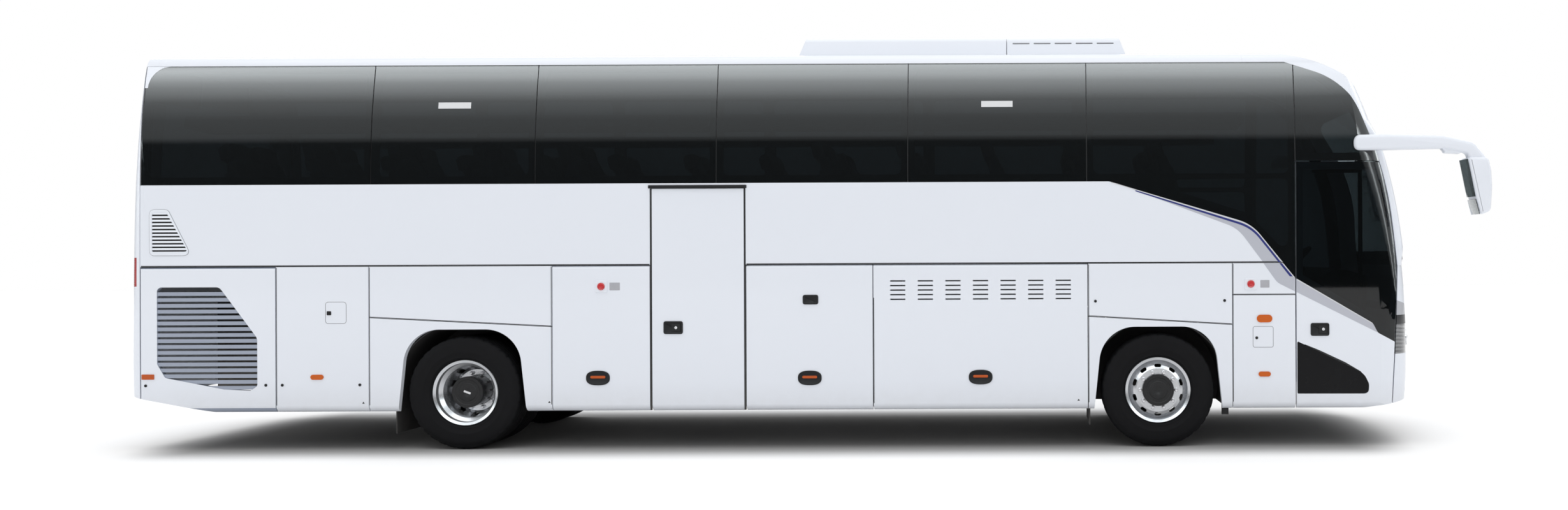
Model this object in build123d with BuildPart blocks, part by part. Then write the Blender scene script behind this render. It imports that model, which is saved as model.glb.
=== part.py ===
"""A high-deck touring coach: body shell, running gear, doors and flaps, each piece its own solid.

X runs forward, Y to the left and Z up from the ground. Stations are measured forward from the
rear wall and heights from the ground, all in millimetres.
"""

from build123d import *
import os
from math import sqrt

os.makedirs("parts", exist_ok=True)

# Body shell
body_length = 12000
body_half = 1275
mirror_reach = 570
left_mirror_reach = 270
wall = 55
glass = 8
bond_gap = 0.4
skirt_z = 354
skirt_tuck = 60
waist_z = 1696
belt_z = 2446
cant_z = 3555
crown_z = 3740
crown_radius = 6000
roof_joint_stations = (250, 10300)
cove_y = 900
side_radius = 5500
roof_edge_radius = 130
bow_radius = 3500
front_corner_radius = 330
rear_corner_radius = 180
panel_gap = 6
flap_gap = 8
door_gap = 12
tangent_overshoot = 1
open_below = 200
rear_roof_radius = 300
rear_glass_station = 157
rear_pane_radius = 200
rear_window_half = 960
rear_window_z = (2300, 3350)
lid_half = 1000
lid_low_z = 560
lid_top_z = 1480
front_split_z = 1398
mid_door_top = 2395
front_door_top = 2620
mask_z = 1660
bumper_z = 1205
screen_top_z = 3250
pillar_cap_z = 3030
# Roof brow: station where it leaves the crown, a point on its first arc; its end; the nose of the brow.
brow_points = [(9400, 10150, 3715), (10804, 3610), (11640, 3050)]
# Underside: where the tail rises and how high, where the nose rises and to where, the bumper's lip.
under_points = [(820, 510), (11395, 11900, 430), (11985, 540)]

# Stations along the body
engine_flap_station = 1392
service_station = 2247
rear_axle_station = 3105
bay_rear_station = 3933
mid_door_rear = 4847
mid_door_front = 5703
gas_bay_station = 6883
bay_front_station = 8859
front_axle_station = 9505
front_panel_station = 10187
front_door_rear = 10771
rear_corner_station = 140

# Running gear
tyre_radius = 522
tyre_width = 292
wheel_track_half = 1093
twin_spacing = 335
kingpin_half = 915
arch_half = 600
hub_inner_y = 1068
spindle_end_y = 1160
front_cap_depth = 34
rear_hub_end_y = 1165
rear_spindle_end_y = 1120
kingpin_radius = 28
yoke_z = (385, 660)
boss_z = (455, 595)
beam_low_z = 400
arch_top_z = 1110

# Saloon
floor_z = 1680
floor_thickness = 80
jack_pad_z = 340
jack_pad_y = 950
jack_pad_radius = 60
jack_pad_stations = (3972, 8798)
bay_floor_z = 500
cab_floor_z = 1000
flap_thickness = 46
left_bay_station = 5408
stair_inner_y = 300
cab_step_y = 650
cab_front_station = 11430
first_step_z = 400
step_setback = 30
wheelhouse_radius = 655
rear_beam_y = 430
rear_beam_z = (800, 940)
front_beam_y = 400
front_beam_z = (760, 900)
beam_half = 50

# Doors: a post inside the doorway swings two arms that carry the leaf
front_post_station = 11400
mid_post_station = 5490
post_y = 1130
post_radius = 20
arm_length = 430
pin_radius = 15
pin_depth = 15
pin_clearance = 0.05
bracket = 20
arm_height = 30
front_arm_z = (405, 2525)
mid_arm_z = (700, 2000)
lid_skin_station = 8

# Fittings
wiper_thickness = 18
unit_top_z = 3845
mirror_arm_y = (1165, 1255)
mirror_head_y = (1075, 1325)
mirror_pane = 6
lamp_proud = 8
lamp_rows = [
    # station, height, length, height of the lamp
    (1772, 677, 118, 46),
    (10480, 670, 112, 46),
    (10481, 1180, 142, 70),
]
driver_y = 620
first_row_station = 900
row_pitch = 790
row_count = 12
seat_inner_y = 300
seat_outer_y = 1140
rack_stations = (500, 10300)
cylinder_radius = 185
hinge_clearance = 0.3

rear_x = -(body_length + mirror_reach) / 2
wheel_z = tyre_radius
inner_half = body_half - wall
seat_gap = 0.3


def at(station):
    return rear_x + station


def region(corners, y_low, y_high, grow=0):
    """Prism between two Y planes through rounded corners, each a (station, height, radius)."""
    with BuildPart() as prism:
        with BuildSketch(Plane.XZ.offset(-y_high)):
            with BuildLine():
                FilletPolyline(
                    *[(at(station), height) for station, height, radius in corners],
                    radius=[radius for station, height, radius in corners],
                    close=True,
                )
            make_face()
            if grow:
                offset(amount=grow)
        extrude(amount=y_high - y_low)
    return prism.part


def box(low, high, y_low, y_high, z_low, z_high):
    """Box between two stations, two Y planes and two heights."""
    with BuildPart() as solid:
        with BuildSketch(Plane.XY.offset(z_low)):
            with Locations((at((low + high) / 2), (y_low + y_high) / 2)):
                Rectangle(high - low, y_high - y_low)
        extrude(amount=z_high - z_low)
    return solid.part


def window(low, high, z_low, z_high, radius=0):
    """Corners of an upright rectangle seen from the side, for region."""
    return [(low, z_low, radius), (high, z_low, radius), (high, z_high, radius), (low, z_high, radius)]


def height_at(first, second, station):
    """Height where the line through two corners crosses a station."""
    return first[1] + (second[1] - first[1]) * (station - first[0]) / (second[0] - first[0])


def station_at(first, second, height):
    """Station where the line through two corners crosses a height."""
    return first[0] + (second[0] - first[0]) * (height - first[1]) / (second[1] - first[1])


def shifted(corners, along=0, up=0):
    return [(station + along, height + up, radius) for station, height, radius in corners]


def on_sides(corners, sides, depth=wall, grow=0):
    """The same outline on the given sides, -1 right and +1 left, down to a depth inside the skin."""
    reach = sorted((body_half - depth, body_half + open_below))
    return [region(corners, *sorted(side * y for y in reach), grow) for side in sides]


# The outer form: a cross-section run along the body, a plan that leans back with height,
# and a side profile that rounds the roof brow, the rear roof corner and the underside.
# Each plan row gives a height and how far the front and rear have drawn in there.
plan_rows = [
    # height, front, rear
    (250, 30, 20),
    (1099, 0, 0),
    (1755, 46, 10),
    (2504, 178, 32),
    (3225, 418, 90),
    (3800, 700, 160),
]


def envelope(inset):
    """The body's outer form, drawn in by the inset; an inset form is left open below."""
    half = body_half - inset
    side = half + tangent_overshoot
    low_z = skirt_z if inset == 0 else skirt_z - open_below
    top_z = crown_z + open_below
    with BuildPart() as plan:
        for height, front, rear in plan_rows:
            with BuildSketch(Plane.XY.offset(height)) as outline:
                nose = at(body_length - front - inset)
                tail = at(rear + inset)
                bow = bow_radius - inset
                shoulder = nose - bow + sqrt(bow**2 - side**2)
                with BuildLine():
                    Polyline((shoulder, -side), (tail, -side), (tail, side), (shoulder, side))
                    ThreePointArc((shoulder, side), (nose, 0), (shoulder, -side))
                make_face()
                fillet(outline.vertices().group_by(Axis.X)[-1], front_corner_radius - inset)
                fillet(outline.vertices().group_by(Axis.X)[0], rear_corner_radius - inset)
        loft()
    brow_tail, brow_mid, brow_nose = brow_points
    under_rear, under_front, bumper = under_points
    with BuildPart() as profile:
        with BuildSketch(Plane.XZ.offset(-2 * body_half)) as outline:
            with BuildLine():
                top = Line((at(0), crown_z + 5), (at(brow_tail[0]), crown_z + 5))
                brow_end = (at(brow_mid[0]), brow_mid[1])
                first = ThreePointArc(top @ 1, (at(brow_tail[1]), brow_tail[2]), brow_end)
                second = TangentArc(first @ 1, (at(brow_nose[0]), brow_nose[1]), tangent=first % 1)
                Polyline(second @ 1, (at(body_length + 100), brow_nose[1]), (at(body_length + 100), bumper[1]),
                         (at(bumper[0]), bumper[1]), (at(under_front[1]), under_front[2]),
                         (at(under_front[0]), skirt_z), (at(under_rear[0]), skirt_z),
                         (at(0), under_rear[1]), top @ 0)
            make_face()
            fillet(outline.vertices().sort_by_distance((at(0), crown_z + 5))[0], rear_roof_radius)
            if inset > 0:
                offset(amount=-inset)
                with Locations((at(body_length / 2), skirt_z)):
                    Rectangle(body_length - 2 * inset, 2 * open_below)
        extrude(amount=4 * body_half)
    with BuildPart() as form:
        with BuildSketch(Plane.YZ.offset(rear_x - open_below)) as section:
            with Locations((0, (belt_z + top_z) / 2)):
                Rectangle(2 * half, top_z - belt_z)
            for centre in (body_half - side_radius, side_radius - body_half):
                with Locations((centre, belt_z)):
                    Circle(side_radius - inset, mode=Mode.INTERSECT)
            with Locations((0, crown_z - crown_radius)):
                Circle(crown_radius - inset, mode=Mode.INTERSECT)
            fillet(section.vertices().group_by(Axis.Y)[-1], roof_edge_radius - inset)
            with Locations((0, (belt_z + low_z) / 2)):
                Rectangle(2 * half, belt_z - low_z)
            if inset == 0:
                fillet(section.vertices().group_by(Axis.Y)[0], skirt_tuck)
        extrude(amount=body_length + 2 * open_below)
        add(plan.part, mode=Mode.INTERSECT)
        add(profile.part, mode=Mode.INTERSECT)
    return form.part


outer = envelope(0)
glass_back = envelope(glass)
frame_face = envelope(glass + bond_gap)
inner = envelope(wall)
inner_clear = envelope(wall + seat_gap)
outer_clear = envelope(-seat_gap)
wiper_form = envelope(-wiper_thickness)
with BuildPart() as wall_layer:
    add(outer)
    add(inner, mode=Mode.SUBTRACT)
with BuildPart() as glass_layer:
    add(outer)
    add(glass_back, mode=Mode.SUBTRACT)
with BuildPart() as frame_layer:
    add(frame_face)
    add(inner, mode=Mode.SUBTRACT)
with BuildPart() as pocket_layer:
    add(outer)
    add(frame_face, mode=Mode.SUBTRACT)

# Edges drawn on the body's side: the front pillar's two edges, the lower edge of the dark
# glass that sweeps down towards the front, and the wheel arches.
full_depth = body_half - 400
both = (-1, 1)
right = (-1,)
left = (1,)
pillar_rear = [(11737, mask_z, 0), (11650, 2500, 2500), (11330, 3215, 700), (11100, 3420, 700),
               (10690, cant_z, 0)]
pillar_front = [(11400, screen_top_z, 120), (11745, 2515, 2500), (11832, mask_z, 0)]
door_front = [(11662, skirt_z - 60, 0), (11700, 941, 0)]
glass_sweep = [(9058, belt_z, 0), (10368, 2049, 400), (10766, 1553, 0)]
door_sweep = [(10766, 1553, 0), (11477, 1135, 60), (11524, 1045, 60), (11694, 960, 0)]
nose_station = body_length + open_below
tail_station = -open_below
cap_rear = (station_at(pillar_rear[1], pillar_rear[2], pillar_cap_z), pillar_cap_z, 0)
cap_front = (station_at(pillar_front[0], pillar_front[1], pillar_cap_z), pillar_cap_z, 0)


def sweep_height(station):
    """Height of the sweep's edge where it crosses a station behind or on the front door."""
    ends = glass_sweep[1:] if station < door_sweep[0][0] else door_sweep[:2]
    return height_at(*ends, station)


def arch(axle):
    return [(axle - arch_half, skirt_z - 100, 0), (axle - arch_half + 90, arch_top_z, 330),
            (axle + arch_half - 90, arch_top_z, 330), (axle + arch_half, skirt_z - 100, 0)]


# Roof from the cant rail up: a centre panel, a cove panel along each side, the tail cap, and the
# brow that comes down over the windscreen, bonded edge to edge.
above_roof = crown_z + 100
roof_region = region(
    [(tail_station, cant_z, 0), *pillar_rear[:1:-1], cap_rear, cap_front, pillar_front[0],
     (nose_station, screen_top_z, 0), (nose_station, above_roof, 0), (tail_station, above_roof, 0)],
    -2 * body_half, 2 * body_half)
roof_joints = [box(station, station + bond_gap, -body_half, body_half, skirt_z, above_roof)
               for station in roof_joint_stations]
roof_joints += [box(*roof_joint_stations, *sorted((side * cove_y, side * (cove_y + bond_gap))), skirt_z,
                    above_roof) for side in both]
with BuildPart() as roof:
    add(wall_layer.part)
    add(roof_region, mode=Mode.INTERSECT)
    for joint in roof_joints:
        add(joint, mode=Mode.SUBTRACT)
roof.part.label = "roof"
export_step(roof.part, "parts/roof.step")

# Windscreen: one bonded pane that wraps round both corners.
screen_region = region(
    shifted(pillar_front[:2], bond_gap, -bond_gap) + shifted(pillar_front[2:], bond_gap, bond_gap)
    + [(nose_station, mask_z + bond_gap, 0), (nose_station, screen_top_z - bond_gap, 0)],
    -2 * body_half, 2 * body_half)
with BuildPart() as windscreen:
    add(glass_layer.part)
    add(screen_region, mode=Mode.INTERSECT)
windscreen.part.label = "windscreen"
export_step(windscreen.part, "parts/windscreen.step")

# Front pillars, between the windscreen and the front door or the driver's window.
pillar_regions = on_sides(
    [*pillar_rear[:2], cap_rear, cap_front, *pillar_front[1:]], both, full_depth)
with BuildPart() as front_pillars:
    for piece in pillar_regions:
        add(piece)
    add(wall_layer.part, mode=Mode.INTERSECT)
front_pillars.part.label = "front_pillars"
export_step(front_pillars.part, "parts/front_pillars.step")

# Front mask below the windscreen, and the bumper with the headlamps let into its corners.
mask_region = region(
    [pillar_rear[0], (nose_station, mask_z, 0), (nose_station, bumper_z, 0), (11713, bumper_z, 0)],
    -2 * body_half, 2 * body_half)
bumper_region = region(
    [(11713, bumper_z - bond_gap, 0), (nose_station, bumper_z - bond_gap, 0), (nose_station, skirt_z - 60, 0),
     door_front[0], door_front[1]],
    -2 * body_half, 2 * body_half)
lamp_windows = [box(11600, nose_station, *sorted((side * 700, side * 1400)), 848, 1120) for side in both]
lamp_pockets = [box(11600, nose_station, *sorted((side * (700 - bond_gap), side * 1400)),
                    848 - bond_gap, 1120 + bond_gap) for side in both]
with BuildPart() as front_mask:
    add(wall_layer.part)
    add(mask_region, mode=Mode.INTERSECT)
front_mask.part.label = "front_mask"
export_step(front_mask.part, "parts/front_mask.step")
with BuildPart() as bumper:
    add(wall_layer.part)
    add(bumper_region, mode=Mode.INTERSECT)
    for pocket in lamp_pockets:
        add(pocket, mode=Mode.SUBTRACT)
bumper.part.label = "bumper"
export_step(bumper.part, "parts/bumper.step")
with BuildPart() as headlamps:
    for piece in lamp_windows:
        add(piece)
    add(wall_layer.part, mode=Mode.INTERSECT)
    add(bumper_region, mode=Mode.INTERSECT)
headlamps.part.label = "headlamps"
export_step(headlamps.part, "parts/headlamps.step")

# Side windows: bonded panes in one dark band, flush with the panels below and the roof above.
# Seams between the panes, as stations; the foremost pane runs down into the sweep.
seams = [2268, 3780, 5445, 7207, 8852]
pane_gap = 8
pane_edges = [rear_glass_station] + seams
pane_regions = []
for low, high in zip(pane_edges, seams):
    rear_radius = rear_pane_radius if low == rear_glass_station else 0
    low_edge = low if low == rear_glass_station else low + pane_gap / 2
    corners = window(low_edge, high - pane_gap / 2, belt_z + bond_gap, cant_z - bond_gap)
    corners[3] = (*corners[3][:2], rear_radius)
    pane_regions += on_sides(corners, both, full_depth)
front_pane_edge = front_door_rear - door_gap / 2
front_pane = [(seams[-1] + pane_gap / 2, belt_z + bond_gap, 0), *glass_sweep[:2],
              (front_pane_edge, sweep_height(front_pane_edge), 0),
              (front_pane_edge, height_at(*pillar_rear[3:], front_pane_edge) - bond_gap, 0),
              (pillar_rear[4][0], cant_z - bond_gap, 0), (seams[-1] + pane_gap / 2, cant_z - bond_gap, 0)]
pane_regions += on_sides(front_pane, both, full_depth)
door_head_z = front_door_top + door_gap
cab_glass_rear = front_door_rear + pane_gap / 2
cab_glass_top = (cab_glass_rear, height_at(*pillar_rear[3:], cab_glass_rear) - bond_gap, 0)
pillar_glass = shifted(pillar_rear[:4], -bond_gap, -bond_gap)
door_way = window(front_door_rear - door_gap / 2, nose_station, 0, door_head_z)
door_hole = on_sides(door_way, right, full_depth)[0]
driver_pane = [(cab_glass_rear, sweep_height(cab_glass_rear), 0), *door_sweep[1:], *pillar_glass,
               cab_glass_top]
pane_regions += on_sides(driver_pane, both, full_depth)
rear_window_region = region(window(tail_station, rear_corner_station, *rear_window_z),
                            -rear_window_half, rear_window_half)
with BuildPart() as side_windows:
    for piece in pane_regions:
        add(piece)
    add(door_hole, mode=Mode.SUBTRACT)
    add(glass_layer.part, mode=Mode.INTERSECT)
side_windows.part.label = "side_windows"
export_step(side_windows.part, "parts/side_windows.step")
with BuildPart() as rear_window:
    add(rear_window_region)
    add(glass_layer.part, mode=Mode.INTERSECT)
rear_window.part.label = "rear_window"
export_step(rear_window.part, "parts/rear_window.step")

# Window frames: rails and pillars behind the glass, with an opening for each pane.
rail = 70
post = 60
frame_openings = []
for low, high in zip([rear_glass_station] + seams, seams + [front_door_rear]):
    pane_opening = window(low + post, high - post, belt_z + rail, cant_z - rail, 60)
    frame_openings += on_sides(pane_opening, both, full_depth)
driver_opening = [(front_door_rear + post, 1640, 60), (11477, 1240, 60), (11600, 1180, 60),
                  (11640, mask_z, 0), (11560, 2500, 2500), (11260, 3150, 300), (10990, 3400, 300),
                  (front_door_rear + post, 3440, 60)]
head_opening = [(front_door_rear + post, door_head_z + rail, 60), (11470, door_head_z + rail, 60),
                (11260, 3150, 300), (10990, 3400, 300), (front_door_rear + post, 3440, 60)]
sweep_opening = [(9330, belt_z + 20, 60), (10330, 2150, 300), (front_door_rear - post, 1760, 60),
                 (front_door_rear - post, belt_z + 20, 60)]
frame_openings += on_sides(driver_opening, left, full_depth) + on_sides(head_opening, right, full_depth)
frame_openings += on_sides(sweep_opening, both, full_depth)
frame_tail = rear_corner_station + panel_gap
frame_outline = [(frame_tail, belt_z, 0), *glass_sweep[:2], *door_sweep, *pillar_rear,
                 (frame_tail, cant_z, 0)]
frame_regions = on_sides(frame_outline, both, full_depth)
with BuildPart() as window_frames:
    for piece in frame_regions:
        add(piece)
    for opening in (*frame_openings, door_hole):
        add(opening, mode=Mode.SUBTRACT)
    add(frame_layer.part, mode=Mode.INTERSECT)
window_frames.part.label = "window_frames"
export_step(window_frames.part, "parts/window_frames.step")

# Waist panels between the flaps and the glass, cut away above the mid door and under the sweep.
waist_tail = rear_corner_station + panel_gap
sweep_waist = 10651
waist_front = [*glass_sweep[:2], (sweep_waist, waist_z, 0)]
waist_regions = on_sides(window(waist_tail, mid_door_rear - door_gap / 2, waist_z, belt_z), right)
over_door = (mid_door_rear - door_gap / 2 + bond_gap, mid_door_front + door_gap / 2 - bond_gap)
waist_regions += on_sides(window(*over_door, mid_door_top + door_gap, belt_z), right)
ahead_of_door = mid_door_front + door_gap / 2
waist_regions += on_sides([(ahead_of_door, waist_z, 0), (ahead_of_door, belt_z, 0), *waist_front], right)
waist_regions += on_sides([(waist_tail, waist_z, 0), (waist_tail, belt_z, 0), *waist_front], left)
with BuildPart() as waist_panels:
    for piece in waist_regions:
        add(piece)
    add(outer, mode=Mode.INTERSECT)
waist_panels.part.label = "waist_panels"
export_step(waist_panels.part, "parts/waist_panels.step")

# Fixed lower panels: service panels, the panels over both axles with their arches, and the front panels.
panel_top = waist_z - panel_gap
half_gap = panel_gap / 2
axle_panels = [
    # rear edge, front edge, axle, seam height at the rear and at the front
    (service_station, bay_rear_station, rear_axle_station, 1221, 1132),
    (bay_front_station, front_panel_station, front_axle_station, 1206, 1126),
]
service_panel = window(engine_flap_station + half_gap, service_station - half_gap, skirt_z, panel_top)
lower_regions = on_sides(service_panel, both)
arches = []
for low, high, axle, seam_rear, seam_front in axle_panels:
    low, high = low + half_gap, high - half_gap
    upper = [(low, seam_rear + half_gap, 0), (high, seam_front + half_gap, 0), (high, panel_top, 0),
             (low, panel_top, 0)]
    lower = [(low, skirt_z, 0), (high, skirt_z, 0), (high, seam_front - half_gap, 0),
             (low, seam_rear - half_gap, 0)]
    lower_regions += on_sides(upper, both) + on_sides(lower, both)
    arches += on_sides(arch(axle), both)
front_low, front_high = front_panel_station + half_gap, front_door_rear - door_gap / 2
lower_regions += on_sides(window(front_low, front_high, skirt_z, front_split_z - half_gap), both)
lower_regions += on_sides([(front_low, front_split_z + half_gap, 0), (front_high, front_split_z + half_gap, 0),
                           (front_high, sweep_height(front_high) - half_gap, 0), (sweep_waist, panel_top, 0),
                           (front_low, panel_top, 0)], both)
cab_side = [(front_door_rear + half_gap, skirt_z - 60, 0), *shifted(door_front, -panel_gap),
            *shifted(door_sweep[:0:-1], 0, -bond_gap),
            (front_door_rear + half_gap, sweep_height(front_door_rear + half_gap) - bond_gap, 0)]
lower_regions += on_sides(cab_side, left, full_depth)
with BuildPart() as lower_panels:
    for piece in lower_regions:
        add(piece)
    for piece in arches:
        add(piece, mode=Mode.SUBTRACT)
    add(wall_layer.part, mode=Mode.INTERSECT)
lower_panels.part.label = "lower_panels"
export_step(lower_panels.part, "parts/lower_panels.step")

# Rear wall: rounded corners, a window, the tail lamps and the opening for the engine lid.
rear_region = region(window(tail_station, rear_corner_station, skirt_z - 60, cant_z),
                     -2 * body_half, 2 * body_half)
rear_pocket = region(window(tail_station, rear_corner_station, rear_window_z[0] - bond_gap,
                            rear_window_z[1] + bond_gap),
                     -rear_window_half - bond_gap, rear_window_half + bond_gap)
rear_hole = region(window(tail_station, rear_corner_station + wall, rear_window_z[0] + rail,
                          rear_window_z[1] - rail),
                   rail - rear_window_half, rear_window_half - rail)
lid_hole = box(tail_station, rear_corner_station + wall, -lid_half - flap_gap, lid_half + flap_gap,
               lid_low_z - flap_gap, lid_top_z + flap_gap)
tail_lamp_z = (1516, 1782)
tail_lamp_y = (1010, 1400)
tail_lamp_front = rear_corner_station - 40
tail_lamp_regions = [box(tail_station, tail_lamp_front, *sorted(side * y for y in tail_lamp_y), *tail_lamp_z)
                     for side in both]
tail_lamp_pockets = [box(tail_station, tail_lamp_front + bond_gap,
                         *sorted((side * (tail_lamp_y[0] - bond_gap), side * tail_lamp_y[1])),
                         tail_lamp_z[0] - bond_gap, tail_lamp_z[1] + bond_gap) for side in both]
lid_hinge_station = lid_skin_station + flap_thickness / 2
lid_hinge_z = lid_top_z - flap_thickness / 2
lid_gutter = box(lid_hinge_station, lid_skin_station + wall, -lid_half, lid_half, lid_hinge_z,
                 lid_top_z + flap_gap)
with BuildPart() as rear_glass_pocket:
    add(rear_pocket)
    add(pocket_layer.part, mode=Mode.INTERSECT)
with BuildPart() as rear_wall:
    add(wall_layer.part)
    add(rear_region, mode=Mode.INTERSECT)
    add(rear_glass_pocket.part, mode=Mode.SUBTRACT)
    for cut in (rear_hole, lid_hole, *tail_lamp_pockets):
        add(cut, mode=Mode.SUBTRACT)
    add(lid_gutter)
    with BuildSketch(Plane.XZ.offset(-lid_half - 1)):
        with Locations((at(lid_hinge_station), lid_hinge_z)):
            Circle(flap_thickness / 2 + hinge_clearance)
    extrude(amount=2 * lid_half + 2, mode=Mode.SUBTRACT)
rear_wall.part.label = "rear_wall"
export_step(rear_wall.part, "parts/rear_wall.step")
with BuildPart() as tail_lamps:
    for piece in tail_lamp_regions:
        add(piece)
    add(wall_layer.part, mode=Mode.INTERSECT)
tail_lamps.part.label = "tail_lamps"
export_step(tail_lamps.part, "parts/tail_lamps.step")


# Underframe: side rails that carry the floor and the hinge gutters of the flaps, bulkheads across
# the body, sills along the bays and the beams above both axles.
rail_half = 1150
rail_edge = inner_half - seat_gap
rail_z = (floor_z - floor_thickness, 1760)
sill_z = (390, 460)
bulkhead = 28
bulkhead_low_z = 380
bulkhead_stations = [engine_flap_station - bulkhead, service_station - bulkhead, bay_rear_station,
                     gas_bay_station - bulkhead / 2,
                     front_axle_station - wheelhouse_radius - bulkhead - panel_gap, front_panel_station]
hinge_y = body_half - flap_thickness / 2
hinge_z = waist_z - flap_gap - flap_thickness / 2
flap_rows = [
    # name, rear edge, front edge, side
    ("engine_flap_right", rear_corner_station + flap_gap, engine_flap_station, -1),
    ("engine_flap_left", rear_corner_station + flap_gap, engine_flap_station, 1),
    ("bay_flap_rear_right", bay_rear_station, mid_door_rear - door_gap, -1),
    ("bay_flap_mid_right", mid_door_front + door_gap, gas_bay_station, -1),
    ("bay_flap_front_right", gas_bay_station, bay_front_station, -1),
    ("bay_flap_rear_left", bay_rear_station, left_bay_station, 1),
    ("bay_flap_mid_left", left_bay_station, gas_bay_station, 1),
    ("bay_flap_front_left", gas_bay_station, bay_front_station, 1),
]
rail_runs = [
    # rear end, front end, side
    (rear_corner_station + wall, mid_door_rear - door_gap, -1),
    (mid_door_front + door_gap, front_door_rear - door_gap, -1),
    (rear_corner_station + wall, front_door_rear - door_gap, 1),
]
gas_bay_front = bulkhead_stations[3] + bulkhead
sill_runs = [
    (bay_rear_station + bulkhead, mid_door_rear - door_gap, -1),
    (mid_door_front + door_gap, bulkhead_stations[3], -1),
    (gas_bay_front, bulkhead_stations[4], -1),
    (bay_rear_station + bulkhead, bulkhead_stations[3], 1),
    (gas_bay_front, bulkhead_stations[4], 1),
]
frame_pieces = [box(low, high, *sorted((side * rail_half, side * rail_edge)), *rail_z)
                for low, high, side in rail_runs]
frame_pieces += [box(low + seat_gap, high - seat_gap, *sorted((side * rail_half, side * rail_edge)), *sill_z)
                 for low, high, side in sill_runs]
bulkhead_plates = [box(station, station + bulkhead, -rail_edge, rail_edge, bulkhead_low_z,
                       rail_z[0] - seat_gap) for station in bulkhead_stations]
for low, high, beam_y, beam_z in [
    (bulkhead_stations[1] + bulkhead, bulkhead_stations[2], rear_beam_y, rear_beam_z),
    (bulkhead_stations[4] + bulkhead, bulkhead_stations[5], front_beam_y, front_beam_z),
]:
    frame_pieces += [box(low + seat_gap, high - seat_gap,
                         *sorted((side * (beam_y - beam_half), side * (beam_y + beam_half))), *beam_z)
                     for side in both]
gutters = [box(low, high, *sorted((side * hinge_y, side * rail_edge)), hinge_z, waist_z - seat_gap)
           for name, low, high, side in flap_rows]
with BuildPart() as frame:
    for piece in frame_pieces + gutters:
        add(piece)
    for name, low, high, side in flap_rows:
        with BuildSketch(Plane.YZ.offset(at(low) - 1)):
            with Locations((side * hinge_y, hinge_z)):
                Circle(flap_thickness / 2 + hinge_clearance)
        extrude(amount=high - low + 2, mode=Mode.SUBTRACT)
frame.part.label = "frame"
export_step(frame.part, "parts/frame.step")

# Bulkheads across the body, with the round jacking pads under those next to the wheels.
with BuildPart() as bulkheads:
    for piece in bulkhead_plates:
        add(piece)
    with BuildSketch(Plane.XY.offset(jack_pad_z)):
        for station in jack_pad_stations:
            with Locations((at(station), jack_pad_y), (at(station), -jack_pad_y)):
                Circle(jack_pad_radius)
    extrude(amount=bulkhead_low_z - jack_pad_z)
bulkheads.part.label = "bulkheads"
export_step(bulkheads.part, "parts/bulkheads.step")

# Saloon floor with the stairwells left open, and the steps up from both doors.
floor_low_z = floor_z - floor_thickness
floor_half = rail_half - seat_gap
aisle_half = 330
stair_front = front_panel_station + bulkhead
floor_pieces = [box(rear_corner_station + wall, front_door_rear - door_gap, -floor_half, floor_half,
                    floor_low_z + seat_gap, floor_z)]
floor_cuts = [
    box(mid_door_rear, mid_door_front, -2 * body_half, -stair_inner_y, floor_low_z - 10, floor_z + 10),
    box(stair_front, front_door_rear, -aisle_half, 2 * body_half, floor_low_z - 10, floor_z + 10),
]
with BuildPart() as saloon_floor:
    for piece in floor_pieces:
        add(piece)
    for cut in floor_cuts:
        add(cut, mode=Mode.SUBTRACT)
saloon_floor.part.label = "saloon_floor"
export_step(saloon_floor.part, "parts/saloon_floor.step")


def stairs(low, high, y_outer, y_inner, z_low, z_high, count):
    """Flight of steps that climbs inboard from a right-hand door, solid below the treads."""
    rise = (z_high - z_low) / count
    run = (y_inner - y_outer) / count
    points = [(y_outer, bulkhead_low_z), (y_outer, z_low)]
    for step in range(count):
        riser_y = y_outer + run * (step + 1)
        points += [(riser_y, z_low + rise * step), (riser_y, z_low + rise * (step + 1))]
    points += [(y_inner + bulkhead, z_high), (y_inner + bulkhead, bulkhead_low_z)]
    with BuildPart() as flight:
        with BuildSketch(Plane.YZ.offset(at(low))):
            with BuildLine():
                Polyline(*points, close=True)
            make_face()
        extrude(amount=high - low)
    return flight.part


mid_stairs = stairs(mid_door_rear + door_gap, mid_door_front - door_gap, -inner_half + step_setback,
                    -stair_inner_y - bulkhead, first_step_z, floor_low_z, 5)
front_stairs = stairs(front_door_rear + door_gap, cab_front_station, -inner_half + step_setback, -cab_step_y,
                      first_step_z, cab_floor_z - bulkhead, 2)
stairwell_walls = [
    box(station, station + door_gap - 1, -rail_half, -stair_inner_y, bulkhead_low_z, floor_low_z)
    for station in (mid_door_rear - door_gap + 1, mid_door_front)
]
with BuildPart() as entry_steps:
    for piece in (mid_stairs, front_stairs, *stairwell_walls):
        add(piece)
    for station in (front_post_station, mid_post_station):
        with BuildSketch(Plane.XY.offset(first_step_z)):
            with Locations((at(station), -post_y)):
                Circle(pin_radius + pin_clearance)
        extrude(amount=-pin_depth - 1, mode=Mode.SUBTRACT)
entry_steps.part.label = "entry_steps"
export_step(entry_steps.part, "parts/entry_steps.step")

# Cab floor between the front panels and the front mask, with the steps from the cab to the aisle.
cab_plate = box(stair_front, cab_front_station, seat_gap - cab_step_y, floor_half, cab_floor_z - bulkhead,
                cab_floor_z)
cab_rise = (floor_z - cab_floor_z) / 3
cab_tread = 280
with BuildPart() as cab_floor:
    add(cab_plate)
    add(box(stair_front + seat_gap, stair_front + cab_tread, seat_gap - aisle_half, aisle_half - seat_gap,
            cab_floor_z, cab_floor_z + 2 * cab_rise))
    add(box(stair_front + cab_tread, stair_front + 2 * cab_tread, seat_gap - aisle_half, aisle_half - seat_gap,
            cab_floor_z, cab_floor_z + cab_rise))
cab_floor.part.label = "cab_floor"
export_step(cab_floor.part, "parts/cab_floor.step")

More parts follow.
